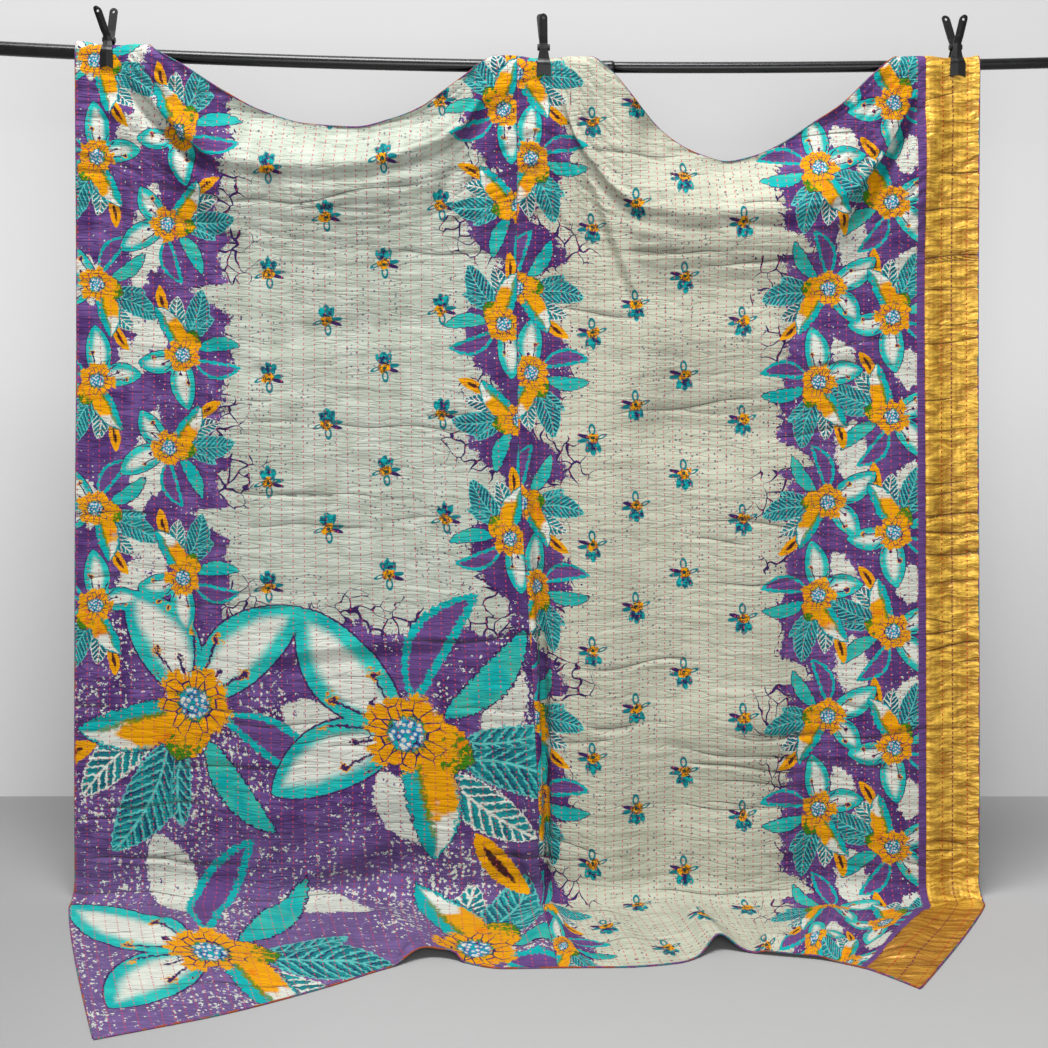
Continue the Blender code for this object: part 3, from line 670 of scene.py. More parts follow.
# How near a face has to be to a thing for the thing to be in its material.
SHAPE_NEAR = 0.0055
HEART_NEAR = 0.046
SPRIG_NEAR = 0.036
EDGE_NEAR = 0.020


def lens(x, run, base, tip, width, bend=0.0):
    """Signed distance to a petal or leaf: pointed at its tip, widest past its middle.

    Also gives the place along it (0 base, 1 tip) and the distance to one side of its midline.
    """
    dx, dy = tip[0] - base[0], tip[1] - base[1]
    length = math.hypot(dx, dy)
    place = ((x - base[0]) * dx + (run - base[1]) * dy) / length
    side = ((x - base[0]) * -dy + (run - base[1]) * dx) / length
    s = np.clip(place / length, 0.0, 1.0)
    side = side - bend * length * 4.0 * s * (1.0 - s)
    widest = BASE_CURVE / (BASE_CURVE + TIP_CURVE)
    peak = widest ** BASE_CURVE * (1.0 - widest) ** TIP_CURVE
    half = 0.5 * width * np.clip(s, 1e-4, 1.0) ** BASE_CURVE * (1.0 - s) ** TIP_CURVE / peak
    past = np.maximum(np.maximum(-place, place - length), 0.0)
    lean = 1.0 / math.sqrt(1.0 + (1.1 * width / length) ** 2)
    return np.hypot(np.maximum(np.abs(side) - half, 0.0), past) + np.minimum(
        (np.abs(side) - half) * lean, 0.0), place / length, side


class Print:
    """The fields of the print over one sheet's vertices, nearest shape by nearest shape."""

    def __init__(self, x, run):
        self.x = x
        self.run = run
        self.drop = run
        names = ("petal", "yellow", *LEAF_SHAPES, *sum(OWN_FIELDS.values(), ()), "ghost",
                 "bloom_away", "bloom_x", "bloom_y", "sprig_x", "sprig_y")
        self.fields = {name: np.full(x.shape, FAR) for name in names}
        self.fields["selvedge"] = SELVEDGE_X - x

    def shape(self, kind, near, base, tip, width, bend=0.0, size=1.0, mirror=1):
        """Adds one shape to its field, and the places in it to the fields of its own."""
        distance, s, side = lens(self.x[near], self.drop[near], base, tip, width, bend)
        before = self.fields[kind][near]
        nearer = distance / size < before
        self.fields[kind][near] = np.where(nearer, distance / size, before)
        length = math.dist(base, tip) / size
        places = (s * length, side / size)
        if kind == "yellow":
            places = (s if length > SHORT_PETAL else -s, -mirror * side / size)
        for name, place in zip(OWN_FIELDS.get(kind, ()), places):
            self.fields[name][near] = np.where(nearer, place, self.fields[name][near])

    def bloom(self, x, run, turn, mirror, size, twist=0.0, stretch=1.0, petals=WHITE_PETALS,
              leaf_reach=1.0, without=()):
        reach = BLOOM_REACH * size
        near = (np.abs(self.x - x) < reach) & (np.abs(self.run - run) < reach * stretch)
        if not near.any():
            return
        self.drop = run + (self.run - run) / stretch

        def polar(angle, distance, leaf):
            direction = math.radians(turn + mirror * (angle + (twist if leaf else 0.0)))
            distance *= leaf_reach if leaf else 1.0
            return (x + 0.001 * distance * size * math.cos(direction),
                    run - 0.001 * distance * size * math.sin(direction))

        for kind, shapes in {"petal": petals, "yellow": YELLOW_PETALS, **LEAF_SHAPES}.items():
            if kind in without:
                continue
            leaf = kind in LEAF_SHAPES
            for a0, r0, a1, r1, width, bend in shapes:
                self.shape(kind, near, polar(a0, r0, leaf), polar(a1, r1, leaf),
                           0.001 * width * size, -mirror * bend, size, mirror)
        dx = (self.x[near] - x) / size
        dy = -(self.drop[near] - run) / size
        away = np.hypot(dx, dy)
        nearer = away < self.fields["bloom_away"][near]
        c, s = math.cos(math.radians(turn)), math.sin(math.radians(turn))
        own = {"bloom_x": dx * c + dy * s, "bloom_y": mirror * (dy * c - dx * s),
               "bloom_away": away}
        for name, value in own.items():
            self.fields[name][near] = np.where(nearer, value, self.fields[name][near])
        self.drop = self.run

    def blooms_down(self, rows, repeat, start, end):
        for x, run, turn, mirror, size in rows:
            first = run - repeat * math.floor((run - start) / repeat)
            for k in range(math.ceil((end - first) / repeat)):
                self.bloom(x, first + repeat * k, turn, mirror, size)

    def ghosts(self, rows, repeat=None, start=None, end=None):
        everywhere = np.ones(self.x.shape, bool)
        for x0, run0, x1, run1, width in rows:
            drops = (0.0,)
            if start is not None:
                first = math.floor((run0 - start) / repeat)
                drops = [repeat * k for k in range(-first, math.ceil((end - run0) / repeat))]
            for drop in drops:
                self.shape("ghost", everywhere, (x0, run0 + drop), (x1, run1 + drop), width)

    def sprigs(self, columns, end, sign):
        """Each vertex's place from the nearest small sprig, the right way up for sign 1."""
        best = np.full(self.x.shape, FAR)
        for x, first, step in columns:
            k = np.round((self.run - first) / step)
            centre = first + step * k
            dx, dy = self.x - x, -(self.run - centre)
            away = np.hypot(dx, dy)
            nearer = (away < best) & (centre < end)
            self.fields["sprig_x"] = np.where(nearer, sign * dx, self.fields["sprig_x"])
            self.fields["sprig_y"] = np.where(nearer, sign * dy, self.fields["sprig_y"])
            best = np.where(nearer, away, best)

    def washes(self):
        """Slow changes of dye and density over the cloth, and the crackle's swept places."""
        def octaves(broad, fine, period, fine_period, seed):
            return sum(share * lattice_noise(self.x / width, self.run / width, seed + k)
                       for k, (share, width) in enumerate(((broad, period),
                                                           (fine, fine_period))))

        self.fields["wash"] = octaves(0.6, 0.4, 0.034, 0.015, 3)
        self.fields["patch"] = octaves(0.6, 0.4, 0.022, 0.012, 6)
        self.fields["cluster"] = lattice_noise(self.x / 0.075, self.run / 0.075, 8)
        self.fields["twig_x"] = self.x + octaves(0.018, 0.007, 0.045, 0.016, 9)
        self.fields["twig_y"] = self.run + octaves(0.018, 0.007, 0.045, 0.016, 11)


def each_repeat(rows, phase):
    """A table's value at a place in the repeat, 0 to 1 and round again."""
    return along(rows, phase - np.floor(phase))


def set_ground(made, border, phase, from_seam, strip_phase):
    """The signed distance to the purple ground, and how far its twigs reach."""
    border = border - each_repeat(BORDER_EDGE, phase)
    strip = from_seam - each_repeat(STRIP_EDGE, strip_phase)
    made.fields["ground"] = np.minimum(border, strip)
    made.fields["twig_reach"] = np.where(border < strip, each_repeat(BORDER_TWIGS, phase),
                                         each_repeat(STRIP_TWIGS, strip_phase))
    made.fields["end_piece"] = np.zeros(made.x.shape)


def left_print(x, run):
    made = Print(x, run)
    made.blooms_down(LEFT_BORDER_BLOOMS, LEFT_REPEAT, BORDER_FROM, LEFT_BORDER_TO)
    made.blooms_down(LEFT_SEAM_BLOOMS, RIGHT_REPEAT, BORDER_FROM, LEFT_SEAM_TO)
    for bloom in END_BLOOMS:
        made.bloom(*bloom, petals=BIG_WHITE_PETALS, leaf_reach=END_LEAF_REACH)
    made.bloom(*HEM_BLOOM, leaf_reach=HEM_LEAF_REACH, without=("petal", "orange_leaf"))
    made.ghosts(LEFT_GHOSTS, LEFT_REPEAT, BORDER_FROM, LEFT_BORDER_TO)
    made.ghosts(END_GHOSTS)
    made.sprigs(LEFT_SPRIGS, LEFT_FIELD_END, 1.0)
    made.washes()
    set_ground(made, x - LEFT_BORDER_X, (run - LEFT_BORDER_BLOOMS[3][1]) / LEFT_REPEAT,
               SEAM_X - x, (run - LEFT_SEAM_BLOOMS[0][1]) / RIGHT_REPEAT)
    end_piece = END_PIECE_RUN + 0.022 * np.sin(x / 0.021) * np.sin(x / 0.057 + 1.0) - run
    made.fields["ground"] = np.minimum(made.fields["ground"], end_piece)
    made.fields["twig_reach"] = np.where(end_piece < END_TWIGS_FROM, END_TWIG_REACH,
                                         made.fields["twig_reach"])
    made.fields["end_piece"] = smooth(run, *END_PIECE_EASE)
    made.fields["yellowed"] = np.zeros(x.shape)
    return made.fields


def right_print(x, run):
    made = Print(x, run)
    made.blooms_down(RIGHT_SEAM_BLOOMS, RIGHT_REPEAT, BORDER_FROM, BORDER_TO)
    made.blooms_down(RIGHT_BORDER_BLOOMS, RIGHT_REPEAT, BORDER_FROM, BORDER_TO)
    made.ghosts(RIGHT_GHOSTS, RIGHT_REPEAT, BORDER_FROM, BORDER_TO)
    made.sprigs(RIGHT_SPRIGS, BORDER_TO, -1.0)
    made.washes()
    set_ground(made, RIGHT_BORDER_X - x,
               (RIGHT_BORDER_BLOOMS[2][1] - run) / RIGHT_REPEAT + 0.10,
               x - SEAM_X, (RIGHT_SEAM_BLOOMS[0][1] - run) / RIGHT_REPEAT)
    made.fields["yellowed"] = np.full(x.shape, RIGHT_YELLOWED)
    return made.fields


def stitch_fields(x, run, first_row, pitch, seed):
    """Which stitch row a vertex is by, and how many stitches down it is, both a little uneven."""
    row = (x - first_row) / pitch + 0.5 + 0.05 * lattice_noise(x / 0.3, run / 0.11, seed)
    start = np.random.default_rng(seed).uniform(0.0, 1.0, 4096)[np.floor(row).astype(int) % 4096]
    count = run / STITCH_SPACING + start
    count = count + 0.30 * lattice_noise(x / pitch * 0.9, run / 0.035, seed + 1)
    return {"stitch_row": row, "stitch_count": count, "stitch_pitch": np.full(x.shape, pitch)}


# --- procedural materials ----------------------------------------------------------------------
# The fields are kept on the vertices in threes, which a render reads much faster than one by one.
FIELD_GROUPS = (
    ("along", "run", "relief"),
    ("crease_line", "crease_mark", "seam"),
    ("stitch_row", "stitch_count", "stitch_pitch"),
    ("ground", "wash", "cluster"),
    ("yellowed", "selvedge", "patch"),
    ("twig_x", "twig_y", "twig_reach"),
    ("end_piece", "ghost"),
    ("sprig_x", "sprig_y"),
    ("bloom_x", "bloom_y", "bloom_away"),
    ("petal", "yellow"),
    ("yellow_s", "yellow_t"),
    ("solid_leaf", "open_leaf", "orange_leaf"),
    ("dark_leaf", "dark_s", "dark_t"),
    ("white_leaf", "white_s", "white_t"),
)
SHARP = 0.0005


def math_method(operation, swapped=False):
    """A method of Wire that adds a Math node; swapped puts the other value first."""
    def method(self, *others):
        values = (*others, self) if swapped else (self, *others)
        return self.paint.math(operation, *values)
    return method


class Wire:
    """One value in a node tree. Arithmetic on it adds Math nodes."""

    __add__ = __radd__ = math_method("ADD")
    __mul__ = __rmul__ = math_method("MULTIPLY")
    __sub__ = math_method("SUBTRACT")
    __rsub__ = math_method("SUBTRACT", swapped=True)
    __truediv__ = math_method("DIVIDE")
    abs = math_method("ABSOLUTE")
    floor = math_method("FLOOR")
    fraction = math_method("FRACT")
    root = math_method("SQRT")
    sine = math_method("SINE")
    cosine = math_method("COSINE")
    lowest = math_method("MINIMUM")
    highest = math_method("MAXIMUM")

    def __init__(self, paint, socket):
        self.paint = paint
        self.socket = socket

    def ease(self, low, high):
        """0 at low, 1 at high, smooth between them."""
        return self.paint.ease(self, low, high)

    def below(self, level, soft=SHARP):
        """1 where the value is under level, 0 where it is over, with a soft edge."""
        return self.ease(level + soft, level - soft)

    def above(self, level, soft=SHARP):
        return self.ease(level - soft, level + soft)

    def near(self, level, reach, soft=SHARP):
        """1 where the value is within reach of level."""
        return (self - level).abs().below(reach, soft)


class Paint:
    """A material's node tree, built from calls that return wires."""

    def __init__(self, name, **settings):
        self.material = bpy.data.materials.new(name)
        self.material.use_nodes = True
        self.tree = self.material.node_tree
        self.shader = self.tree.nodes["Principled BSDF"]
        for socket, value in settings.items():
            self.shader.inputs[socket.replace("_", " ")].default_value = value
        self.groups = {}

    def feed(self, value, socket):
        if isinstance(value, Wire):
            self.tree.links.new(value.socket, socket)
        elif isinstance(value, tuple) and len(value) == 3 and socket.type == "RGBA":
            socket.default_value = (*value, 1.0)
        else:
            socket.default_value = value

    def node(self, kind, inputs, output=0, **settings):
        """Adds a node with its settings and inputs, and gives one of its outputs."""
        node = self.tree.nodes.new("ShaderNode" + kind)
        for name, value in settings.items():
            setattr(node, name, value)
        for key, value in inputs.items():
            self.feed(value, node.inputs[key])
        return Wire(self, node.outputs[output])

    def math(self, operation, *values):
        return self.node("Math", dict(enumerate(values)), operation=operation)

    def ease(self, value, low, high):
        return self.node("MapRange", {"Value": value, "From Min": low, "From Max": high},
                         "Result", interpolation_type="SMOOTHSTEP")

    def mix(self, share, first, second):
        return self.node("Mix", {0: share, 6: first, 7: second}, 2, data_type="RGBA")

    def layers(self, colour, *layers):
        """Lays colours over a colour, each given with its share."""
        for share, over in layers:
            colour = self.mix(share, colour, over)
        return colour

    def fields(self, *names):
        """The values of the fields with these names."""
        wires = []
        for name in names:
            group = next(group for group in FIELD_GROUPS if name in group)
            if group not in self.groups:
                packed = self.node("Attribute", {}, "Vector", attribute_name="_".join(group))
                split = self.node("SeparateXYZ", {0: packed}).socket.node
                self.groups[group] = [Wire(self, output) for output in split.outputs]
            wires.append(self.groups[group][group.index(name)])
        return wires

    def field(self, name):
        return self.fields(name)[0]

    def vector(self, x, y):
        return self.node("CombineXYZ", {0: x, 1: y})

    def place(self):
        return self.node("TexCoord", {}, "Object")

    def noise(self, vector, scale, detail=1.0, roughness=0.5, dimensions="2D"):
        inputs = {"Vector": vector, "Scale": scale, "Detail": detail, "Roughness": roughness}
        return self.node("TexNoise", inputs, "Fac", noise_dimensions=dimensions)

    def solid_noise(self, scale, detail, roughness=0.5):
        """Noise through the object's own space, for pieces without flat coordinates."""
        return self.noise(self.place(), scale, detail, roughness, "3D")

    def cells(self, vector, scale):
        """Distance into a field of random cells, in cells, and a random value for each cell."""
        distance = self.node("TexVoronoi", {"Vector": vector, "Scale": scale}, "Distance",
                             voronoi_dimensions="2D")
        colour = Wire(self, distance.socket.node.outputs["Color"])
        return distance, self.node("SeparateColor", {0: colour})

    def cracks(self, vector, scale):
        """Distance from the edges between random cells, in cells."""
        return self.node("TexVoronoi", {"Vector": vector, "Scale": scale}, "Distance",
                         voronoi_dimensions="2D", feature="DISTANCE_TO_EDGE")

    def chance(self, value):
        """A random number from 0 to 1 for each whole value."""
        return self.node("TexWhiteNoise", {"W": value}, "Value", noise_dimensions="1D")

    def finish(self, colour, height=None, roughness=None):
        self.feed(colour, self.shader.inputs["Base Color"])
        if roughness is not None:
            self.feed(roughness, self.shader.inputs["Roughness"])
        if height is not None:
            bump = self.node("Bump", {"Distance": 1.0, "Height": height})
            self.feed(bump, self.shader.inputs["Normal"])
        return self.material


def shade(red, green, blue):
    """A colour from its screen values, 0 to 255, as the linear values that shaders take."""
    return tuple((v / 255 / 12.92 if v <= 10 else ((v / 255 + 0.055) / 1.055) ** 2.4)
                 for v in (red, green, blue))


WHITE = shade(206, 210, 198)
FIELD = shade(196, 203, 190)
FIELD_SHADE = shade(182, 190, 175)
YELLOWED_FIELD = shade(196, 196, 172)
PETAL_WHITE = shade(216, 219, 208)
PURPLE = shade(100, 70, 128)
DARK_PURPLE = shade(58, 34, 88)
GROUND_DARK = shade(80, 50, 110)
GROUND_LIGHT = shade(114, 84, 146)
GROUND_PALER_LOW = shade(124, 104, 150)
TEAL = shade(8, 168, 168)
DEEP_TEAL = shade(14, 122, 130)
LEAF_TEAL = shade(60, 182, 166)
RIM_TEAL = shade(44, 190, 180)
VEIN_TEAL = shade(96, 190, 184)
BLADE_LIGHT = shade(22, 146, 148)
BLADE_DARK = shade(16, 100, 114)
SPRIG_EYE = shade(20, 70, 60)
YELLOW = shade(230, 158, 4)
ORANGE = shade(222, 124, 12)
GREEN = shade(62, 122, 24)
BROWN = shade(72, 34, 34)
NAVY = shade(40, 36, 88)
SKY = shade(56, 124, 184)
STITCH = shade(206, 66, 84)
SHADOW = shade(52, 50, 44)
# The gold's colours carry painted light: a painted highlight on its wrinkles' tops, painted shade
# in their valleys, hollows and creases and where it lies on the floor.
GOLD_SHADED = shade(178, 122, 18)
GOLD_HIGHLIT = shade(250, 198, 70)
GOLD_THREAD = shade(255, 220, 116)
GOLD_VALLEY_SHADE = shade(104, 60, 6)
GOLD_HOLLOW_SHADE = shade(112, 70, 12)
GOLD_FLOOR_SHADE = shade(164, 98, 24)
GOLD_CREASE = shade(84, 44, 6)
BACK_DARK = shade(20, 98, 94)
BACK_LIGHT = shade(28, 122, 114)
HEM_BROWN = shade(150, 80, 40)
BLACK = shade(9, 9, 10)
ROD_RUBBED = shade(20, 21, 24)
CLIP_WORN = shade(60, 62, 66)
FLOOR_COLOURS = (shade(180, 180, 180), shade(160, 160, 160))
WALL_COLOURS = (shade(236, 236, 236), shade(212, 212, 212))
STITCH_SHARE = 0.42
STITCH_HALF_WIDTH = 0.0010
CREASE_HALF_WIDTH = 0.0012
GOLD_STITCH_HALF_WIDTH = 0.0011
GOLD_STITCH_SPACING = 0.0096
# The gold border's lines of stitching: along, colour and the stitches' share of the line
GOLD_STITCHES = (
    (1.926, shade(190, 50, 24), 0.50),
    (1.947, shade(120, 40, 60), 0.60),
    (1.977, shade(196, 64, 30), 0.50),
)
# How many features each noise has to a metre
JAG_SCALE = 75.0
UNEVEN_SCALE = 130.0
SPECK_SCALE = 92.0
TWIG_SCALE = 31.0
BEAD_SCALE = 190.0
FILAMENT_STEP = math.radians(19.0)
FILAMENT_START = math.radians(58.0)
RING_PETALS = 18


def stitches(paint, colour):
    """The running stitch: dashes down each stitch row."""
    row, count, pitch = paint.fields("stitch_row", "stitch_count", "stitch_pitch")
    across = (row.fraction() - 0.5).abs() * pitch
    dashes = across.below(STITCH_HALF_WIDTH) * count.fraction().below(STITCH_SHARE, 0.08)
    return paint.mix(dashes * 0.85, colour, STITCH)


def cloth_height(paint, x, run):
    """The cloth's finest relief in metres: small wrinkles across it.

    Also gives where the narrow valleys between the wrinkles are.
    """
    wrinkles = paint.noise(paint.vector(x * 13.0, run * 88.0), 1.0, 1.0, 0.6)
    ridges = (wrinkles - 0.5).abs().ease(0.0, 0.09)
    return wrinkles * 0.0019 + ridges * 0.0008, 1.0 - ridges


def ellipse(x, y, middle_x, middle_y, half_x, half_y, turn):
    """1 on the edge of an ellipse, less inside; turn is in degrees."""
    c, s = math.cos(math.radians(turn)), math.sin(math.radians(turn))
    dx, dy = x - middle_x, y - middle_y
    u = (dx * c + dy * s) / half_x
    v = (dy * c - dx * s) / half_y
    return (u * u + v * v).root()


def crease_lines(paint, half_width, soft):
    """Where the fine creases run, fading to their ends."""
    line, mark = paint.fields("crease_line", "crease_mark")
    return line.abs().below(half_width, soft) * mark.ease(0.0, 0.6)


def paint_sprig(paint, colour, jag):
    """The field's small sprig: a leaf cluster, a yellow flower, two side leaves and a loop."""
    x, y = paint.fields("sprig_x", "sprig_y")
    side, dark_side, thin, loop, flower, eye, *cluster = (
        ellipse(x, y, *row) for row in SPRIG_ELLIPSES)
    leaves = cluster[0]
    for leaf in cluster[1:]:
        leaves = leaves.lowest(leaf)
    ragged = jag * 1.5
    return paint.layers(
        colour,
        ((leaves + ragged * 0.7).below(1.0, 0.10), DEEP_TEAL),
        ((leaves + ragged * 1.2).below(0.85, 0.15) * ragged.above(0.06, 0.05), NAVY),
        ((leaves + ragged * 0.7).below(0.9, 0.15) * ragged.below(-0.10, 0.05), TEAL),
        ((side + ragged * 0.5).below(1.0, 0.15), DEEP_TEAL),
        ((dark_side + ragged * 0.5).below(1.0, 0.15), DARK_PURPLE),
        (thin.near(0.85, 0.34, 0.12), DEEP_TEAL),
        (loop.near(0.85, 0.28, 0.10), DEEP_TEAL),
        ((flower + 1.6 * ragged).below(1.0, 0.12), YELLOW),
        ((flower + ragged).below(1.1, 0.1) * ragged.abs().below(0.06, 0.03), BROWN),
        ((eye + ragged).below(1.0, 0.25), SPRIG_EYE))


def paint_ground(paint, cloth, jag, valleys, printed):
    """The off-white field, and if printed also the purple ground and the crackle at its edge."""
    ground, wash, cluster = paint.fields("ground", "wash", "cluster")
    specks, speck_kind = paint.cells(cloth, SPECK_SCALE)
    specks = specks + jag * 0.30
    field = paint.mix(wash.ease(-0.6, 0.6), FIELD_SHADE, FIELD)
    field = paint.layers(
        field, (paint.field("yellowed"), YELLOWED_FIELD),
        (specks.below(0.16, 0.04) * speck_kind.above(0.66, 0.01) * cluster.above(-0.1, 0.4)
         * ground.below(0.10, 0.10).highest(0.75), DARK_PURPLE))
    if not printed:
        return field
    patch, twig_x, twig_y, twig_reach, ghost, end_piece, seam, run = paint.fields(
        "patch", "twig_x", "twig_y", "twig_reach", "ghost", "end_piece", "seam", "run")
    twigs = paint.cracks(paint.vector(twig_x, twig_y), TWIG_SCALE)
    left_over = 1.0 - (ground + jag * 0.05) / twig_reach
    width = left_over.highest(0.0) * 0.085 + patch * 0.034
    squiggles = (jag - 0.07).abs() - (left_over - 0.45) * 0.030 - patch * 0.010
    field = paint.layers(
        field, ((twigs - width).below(0.0, 0.010) * left_over.above(0.05, 0.05), DARK_PURPLE),
        (squiggles.below(0.0, 0.004) * left_over.above(0.4, 0.05), DARK_PURPLE))
    sown = 0.265 - 0.130 * end_piece - 0.075 * cluster
    base = paint.layers(
        paint.mix(wash.ease(-0.8, 0.8), GROUND_DARK, GROUND_LIGHT),
        # painted shade: the purple darker beside the seam, where the fold shades it, and in the
        # valleys between the wrinkles
        ((seam.below(0.09, 0.07) * 0.5).highest(valleys * 0.45), DARK_PURPLE),
        # the purple paler towards the bottom of the end piece
        (end_piece * run.ease(1.40, 1.75) * 0.5, GROUND_PALER_LOW),
        ((specks + jag * 0.35).below(0.08 + 0.12 * end_piece, 0.03)
         * (speck_kind + cluster * 0.45).above(0.86, 0.01), WHITE),
        ((jag - sown).above(0.0, 0.006), WHITE))
    purple = (ground + jag * 0.060).below(0.0)
    ghost_white = paint.mix(jag.above(0.16, 0.02), WHITE, PURPLE)
    return paint.layers(field, (purple, base),
                        ((ghost + jag * 0.034).below(0.0) * purple, ghost_white))


def paint_leaves(paint, colour, uneven):
    """A bloom's leaves: outlined, solid, dark veined, white veined and orange."""
    uneven = uneven * 0.0058
    wash, patch = paint.fields("wash", "patch")
    wash = wash.ease(-0.7, 0.7)
    open_leaf, solid = (leaf + uneven for leaf in paint.fields("open_leaf", "solid_leaf"))
    colour = paint.layers(
        colour, (open_leaf.below(0.0), PURPLE),
        ((open_leaf + 0.0028).abs().below(0.0030, 0.0006), TEAL),
        (solid.near(0.0006, 0.0010, 0.0004), DARK_PURPLE),
        (solid.below(0.0), paint.mix(wash, TEAL, LEAF_TEAL)))
    for kind, period, share, line, streaks in (("white", 0.0105, 0.26, PETAL_WHITE, 0.45),
                                               ("dark", 0.0100, 0.24, VEIN_TEAL, 0.9)):
        leaf, s, t = paint.fields(kind + "_leaf", kind + "_s", kind + "_t")
        leaf = leaf + uneven
        slanted = ((s - t.abs() * 1.1 + uneven * 0.9) / period).fraction()
        veins = slanted.near(0.5, 0.5 * share, 0.07).highest(
            (t + uneven * 0.3).abs().below(0.0011))
        dark_streaks = slanted.near(0.86, 0.10, 0.06) * patch.above(-0.3, 0.3)
        blade = paint.layers(paint.mix(wash, BLADE_LIGHT, BLADE_DARK),
                             (dark_streaks * streaks, NAVY), (veins, line))
        colour = paint.layers(colour, (leaf.below(0.0006), line), (leaf.below(-0.0008), blade))
    orange = paint.field("orange_leaf") + uneven * 0.6
    return paint.layers(colour, (orange.below(0.0, 0.0004), YELLOW),
                        (orange.below(-0.0070, 0.0009), BROWN))


def paint_petals(paint, colour, uneven, jag):
    """White petals with teal rims, then yellow ones with green ends and white tips."""
    wash, patch, petal, yellow, s, t = paint.fields(
        "wash", "patch", "petal", "yellow", "yellow_s", "yellow_t")
    petal = petal + uneven * 0.0018
    rim = (petal + wash * 0.0022).ease(-0.0160, -0.0065)
    washed = paint.mix(wash.ease(-0.8, 0.8), TEAL, RIM_TEAL)
    yellow = yellow + uneven * 0.0050 + jag * 0.010
    green_end = (jag * 1.5 - s).ease(0.66, 0.80) * yellow.above(-0.0130, 0.0050)
    one_side = t.above(0.0, 0.002)
    band = yellow.above(-0.0100, 0.0016) * one_side * s.above(0.22, 0.08)
    green_line = yellow.above(-0.0140, 0.0016) * one_side * s.above(0.16, 0.08)
    tip_rim = yellow.above(-0.0024, 0.0010) * s.above(0.45, 0.10)
    inner = paint.layers(
        paint.mix(patch.ease(0.1, 0.8), YELLOW, ORANGE),
        ((s + patch * 0.16).ease(0.58, 0.68), PETAL_WHITE),
        (green_end.highest(green_line * 0.85), GREEN),
        (band.highest(tip_rim), TEAL))
    return paint.layers(
        colour, (petal.near(0.0006, 0.0010, 0.0004), DARK_PURPLE),
        (petal.below(0.0), paint.mix(rim, PETAL_WHITE, washed)),
        (yellow.near(0.0004, 0.0008, 0.0004), DARK_PURPLE), (yellow.below(0.0), inner))


def paint_hearts(paint, colour, jag):
    """Each bloom's dotted middle, its cracked yellow ring and the filaments on its petals."""
    x, y, away, petal = paint.fields("bloom_x", "bloom_y", "bloom_away", "petal")
    ragged = jag * 0.014
    angle = paint.math("ARCTAN2", y, x) + ragged * 3.0
    on_petal = petal.below(-0.002, 0.001)
    turn = (angle - FILAMENT_START) / FILAMENT_STEP
    chance = paint.chance(turn.floor())
    off = (turn.fraction() - 0.5) * FILAMENT_STEP
    reach = 0.038 + 0.034 * chance
    side = away * off.sine() + ragged * 0.35
    out = away * off.cosine()
    tip = ((out - reach) * (out - reach) + side * side).root()
    line = side.abs().below(0.0011) * out.below(reach, 0.001)
    edge = 0.026 + 0.011 * paint.chance((angle * (RING_PETALS / 2 / math.pi)).floor())
    # The cracks between the ring's petals: long cells that point to the middle.
    cracks = paint.cracks(paint.vector(angle * 2.6, away * 62.0), 1.0)
    crack_width = (0.036 - away) * 4.0 + jag * 0.12
    beads, bead_kind = paint.cells(paint.vector(x, y), BEAD_SCALE)
    middle = paint.layers(
        paint.mix(bead_kind.above(0.30, 0.05), DARK_PURPLE, TEAL),
        (beads.below(0.50, 0.10), SKY),
        ((beads - bead_kind * 0.20).below(0.22, 0.08), PETAL_WHITE))
    return paint.layers(
        colour,
        (on_petal * (tip + ragged * 1.3).below(0.0020 + 0.0040 * chance, 0.0008), YELLOW),
        (on_petal * (tip + ragged * 1.1).below(0.0026, 0.0006), DARK_PURPLE),
        (on_petal * line, DARK_PURPLE),
        ((away + ragged * 1.5).below(edge, 0.0012),
         paint.mix(ragged.above(0.0016, 0.001), YELLOW, ORANGE)),
        ((cracks - crack_width).below(0.0, 0.02) * away.above(0.012, 0.001)
         * away.below(0.038, 0.002), DARK_PURPLE),
        ((away + 1.4 * ragged).below(0.0155, 0.0012),
         paint.mix(ragged.above(0.0, 0.001), GREEN, DEEP_TEAL)),
        ((away + 0.9 * ragged).below(0.0135, 0.0012), middle))


def print_material(things):
    """The print with only the things that are near: where faces meet, it is the same in each."""
    sprigs, leaves, petals, printed = (bool(things & 2 ** bit) for bit in range(4))
    name = "printed_cotton_%d" % things
    if name in bpy.data.materials:
        return bpy.data.materials[name]
    paint = Paint(name, Roughness=0.86, Sheen_Weight=0.03, Specular_IOR_Level=0.10)
    x, run, relief_there = paint.fields("along", "run", "relief")
    height, valleys = cloth_height(paint, x, run)
    cloth = paint.vector(x, run)
    jag = paint.noise(cloth, JAG_SCALE, 3.0, 0.75) - 0.5
    colour = paint_ground(paint, cloth, jag, valleys, printed)
    if sprigs:
        colour = paint_sprig(paint, colour, jag)
    if leaves or petals:
        uneven = paint.noise(cloth, UNEVEN_SCALE) - 0.5
    if leaves:
        colour = paint_leaves(paint, colour, uneven)
    if petals:
        colour = paint_petals(paint, colour, uneven, jag)
        colour = paint_hearts(paint, colour, jag)
    colour = stitches(paint, paint.mix(paint.field("selvedge").below(0.0), colour, PURPLE))
    hollow = relief_there.ease(-0.0026, 0.0002)
    crease = crease_lines(paint, CREASE_HALF_WIDTH, 0.0008)
    shadow = ((1.0 - hollow) * 0.35).highest(crease * 0.75).highest(valleys * 0.10)
    colour = paint.layers(colour, (shadow, SHADOW),
                          (paint.field("seam").below(0.0008, 0.0006) * 0.7, DARK_PURPLE))
    return paint.finish(colour, height)


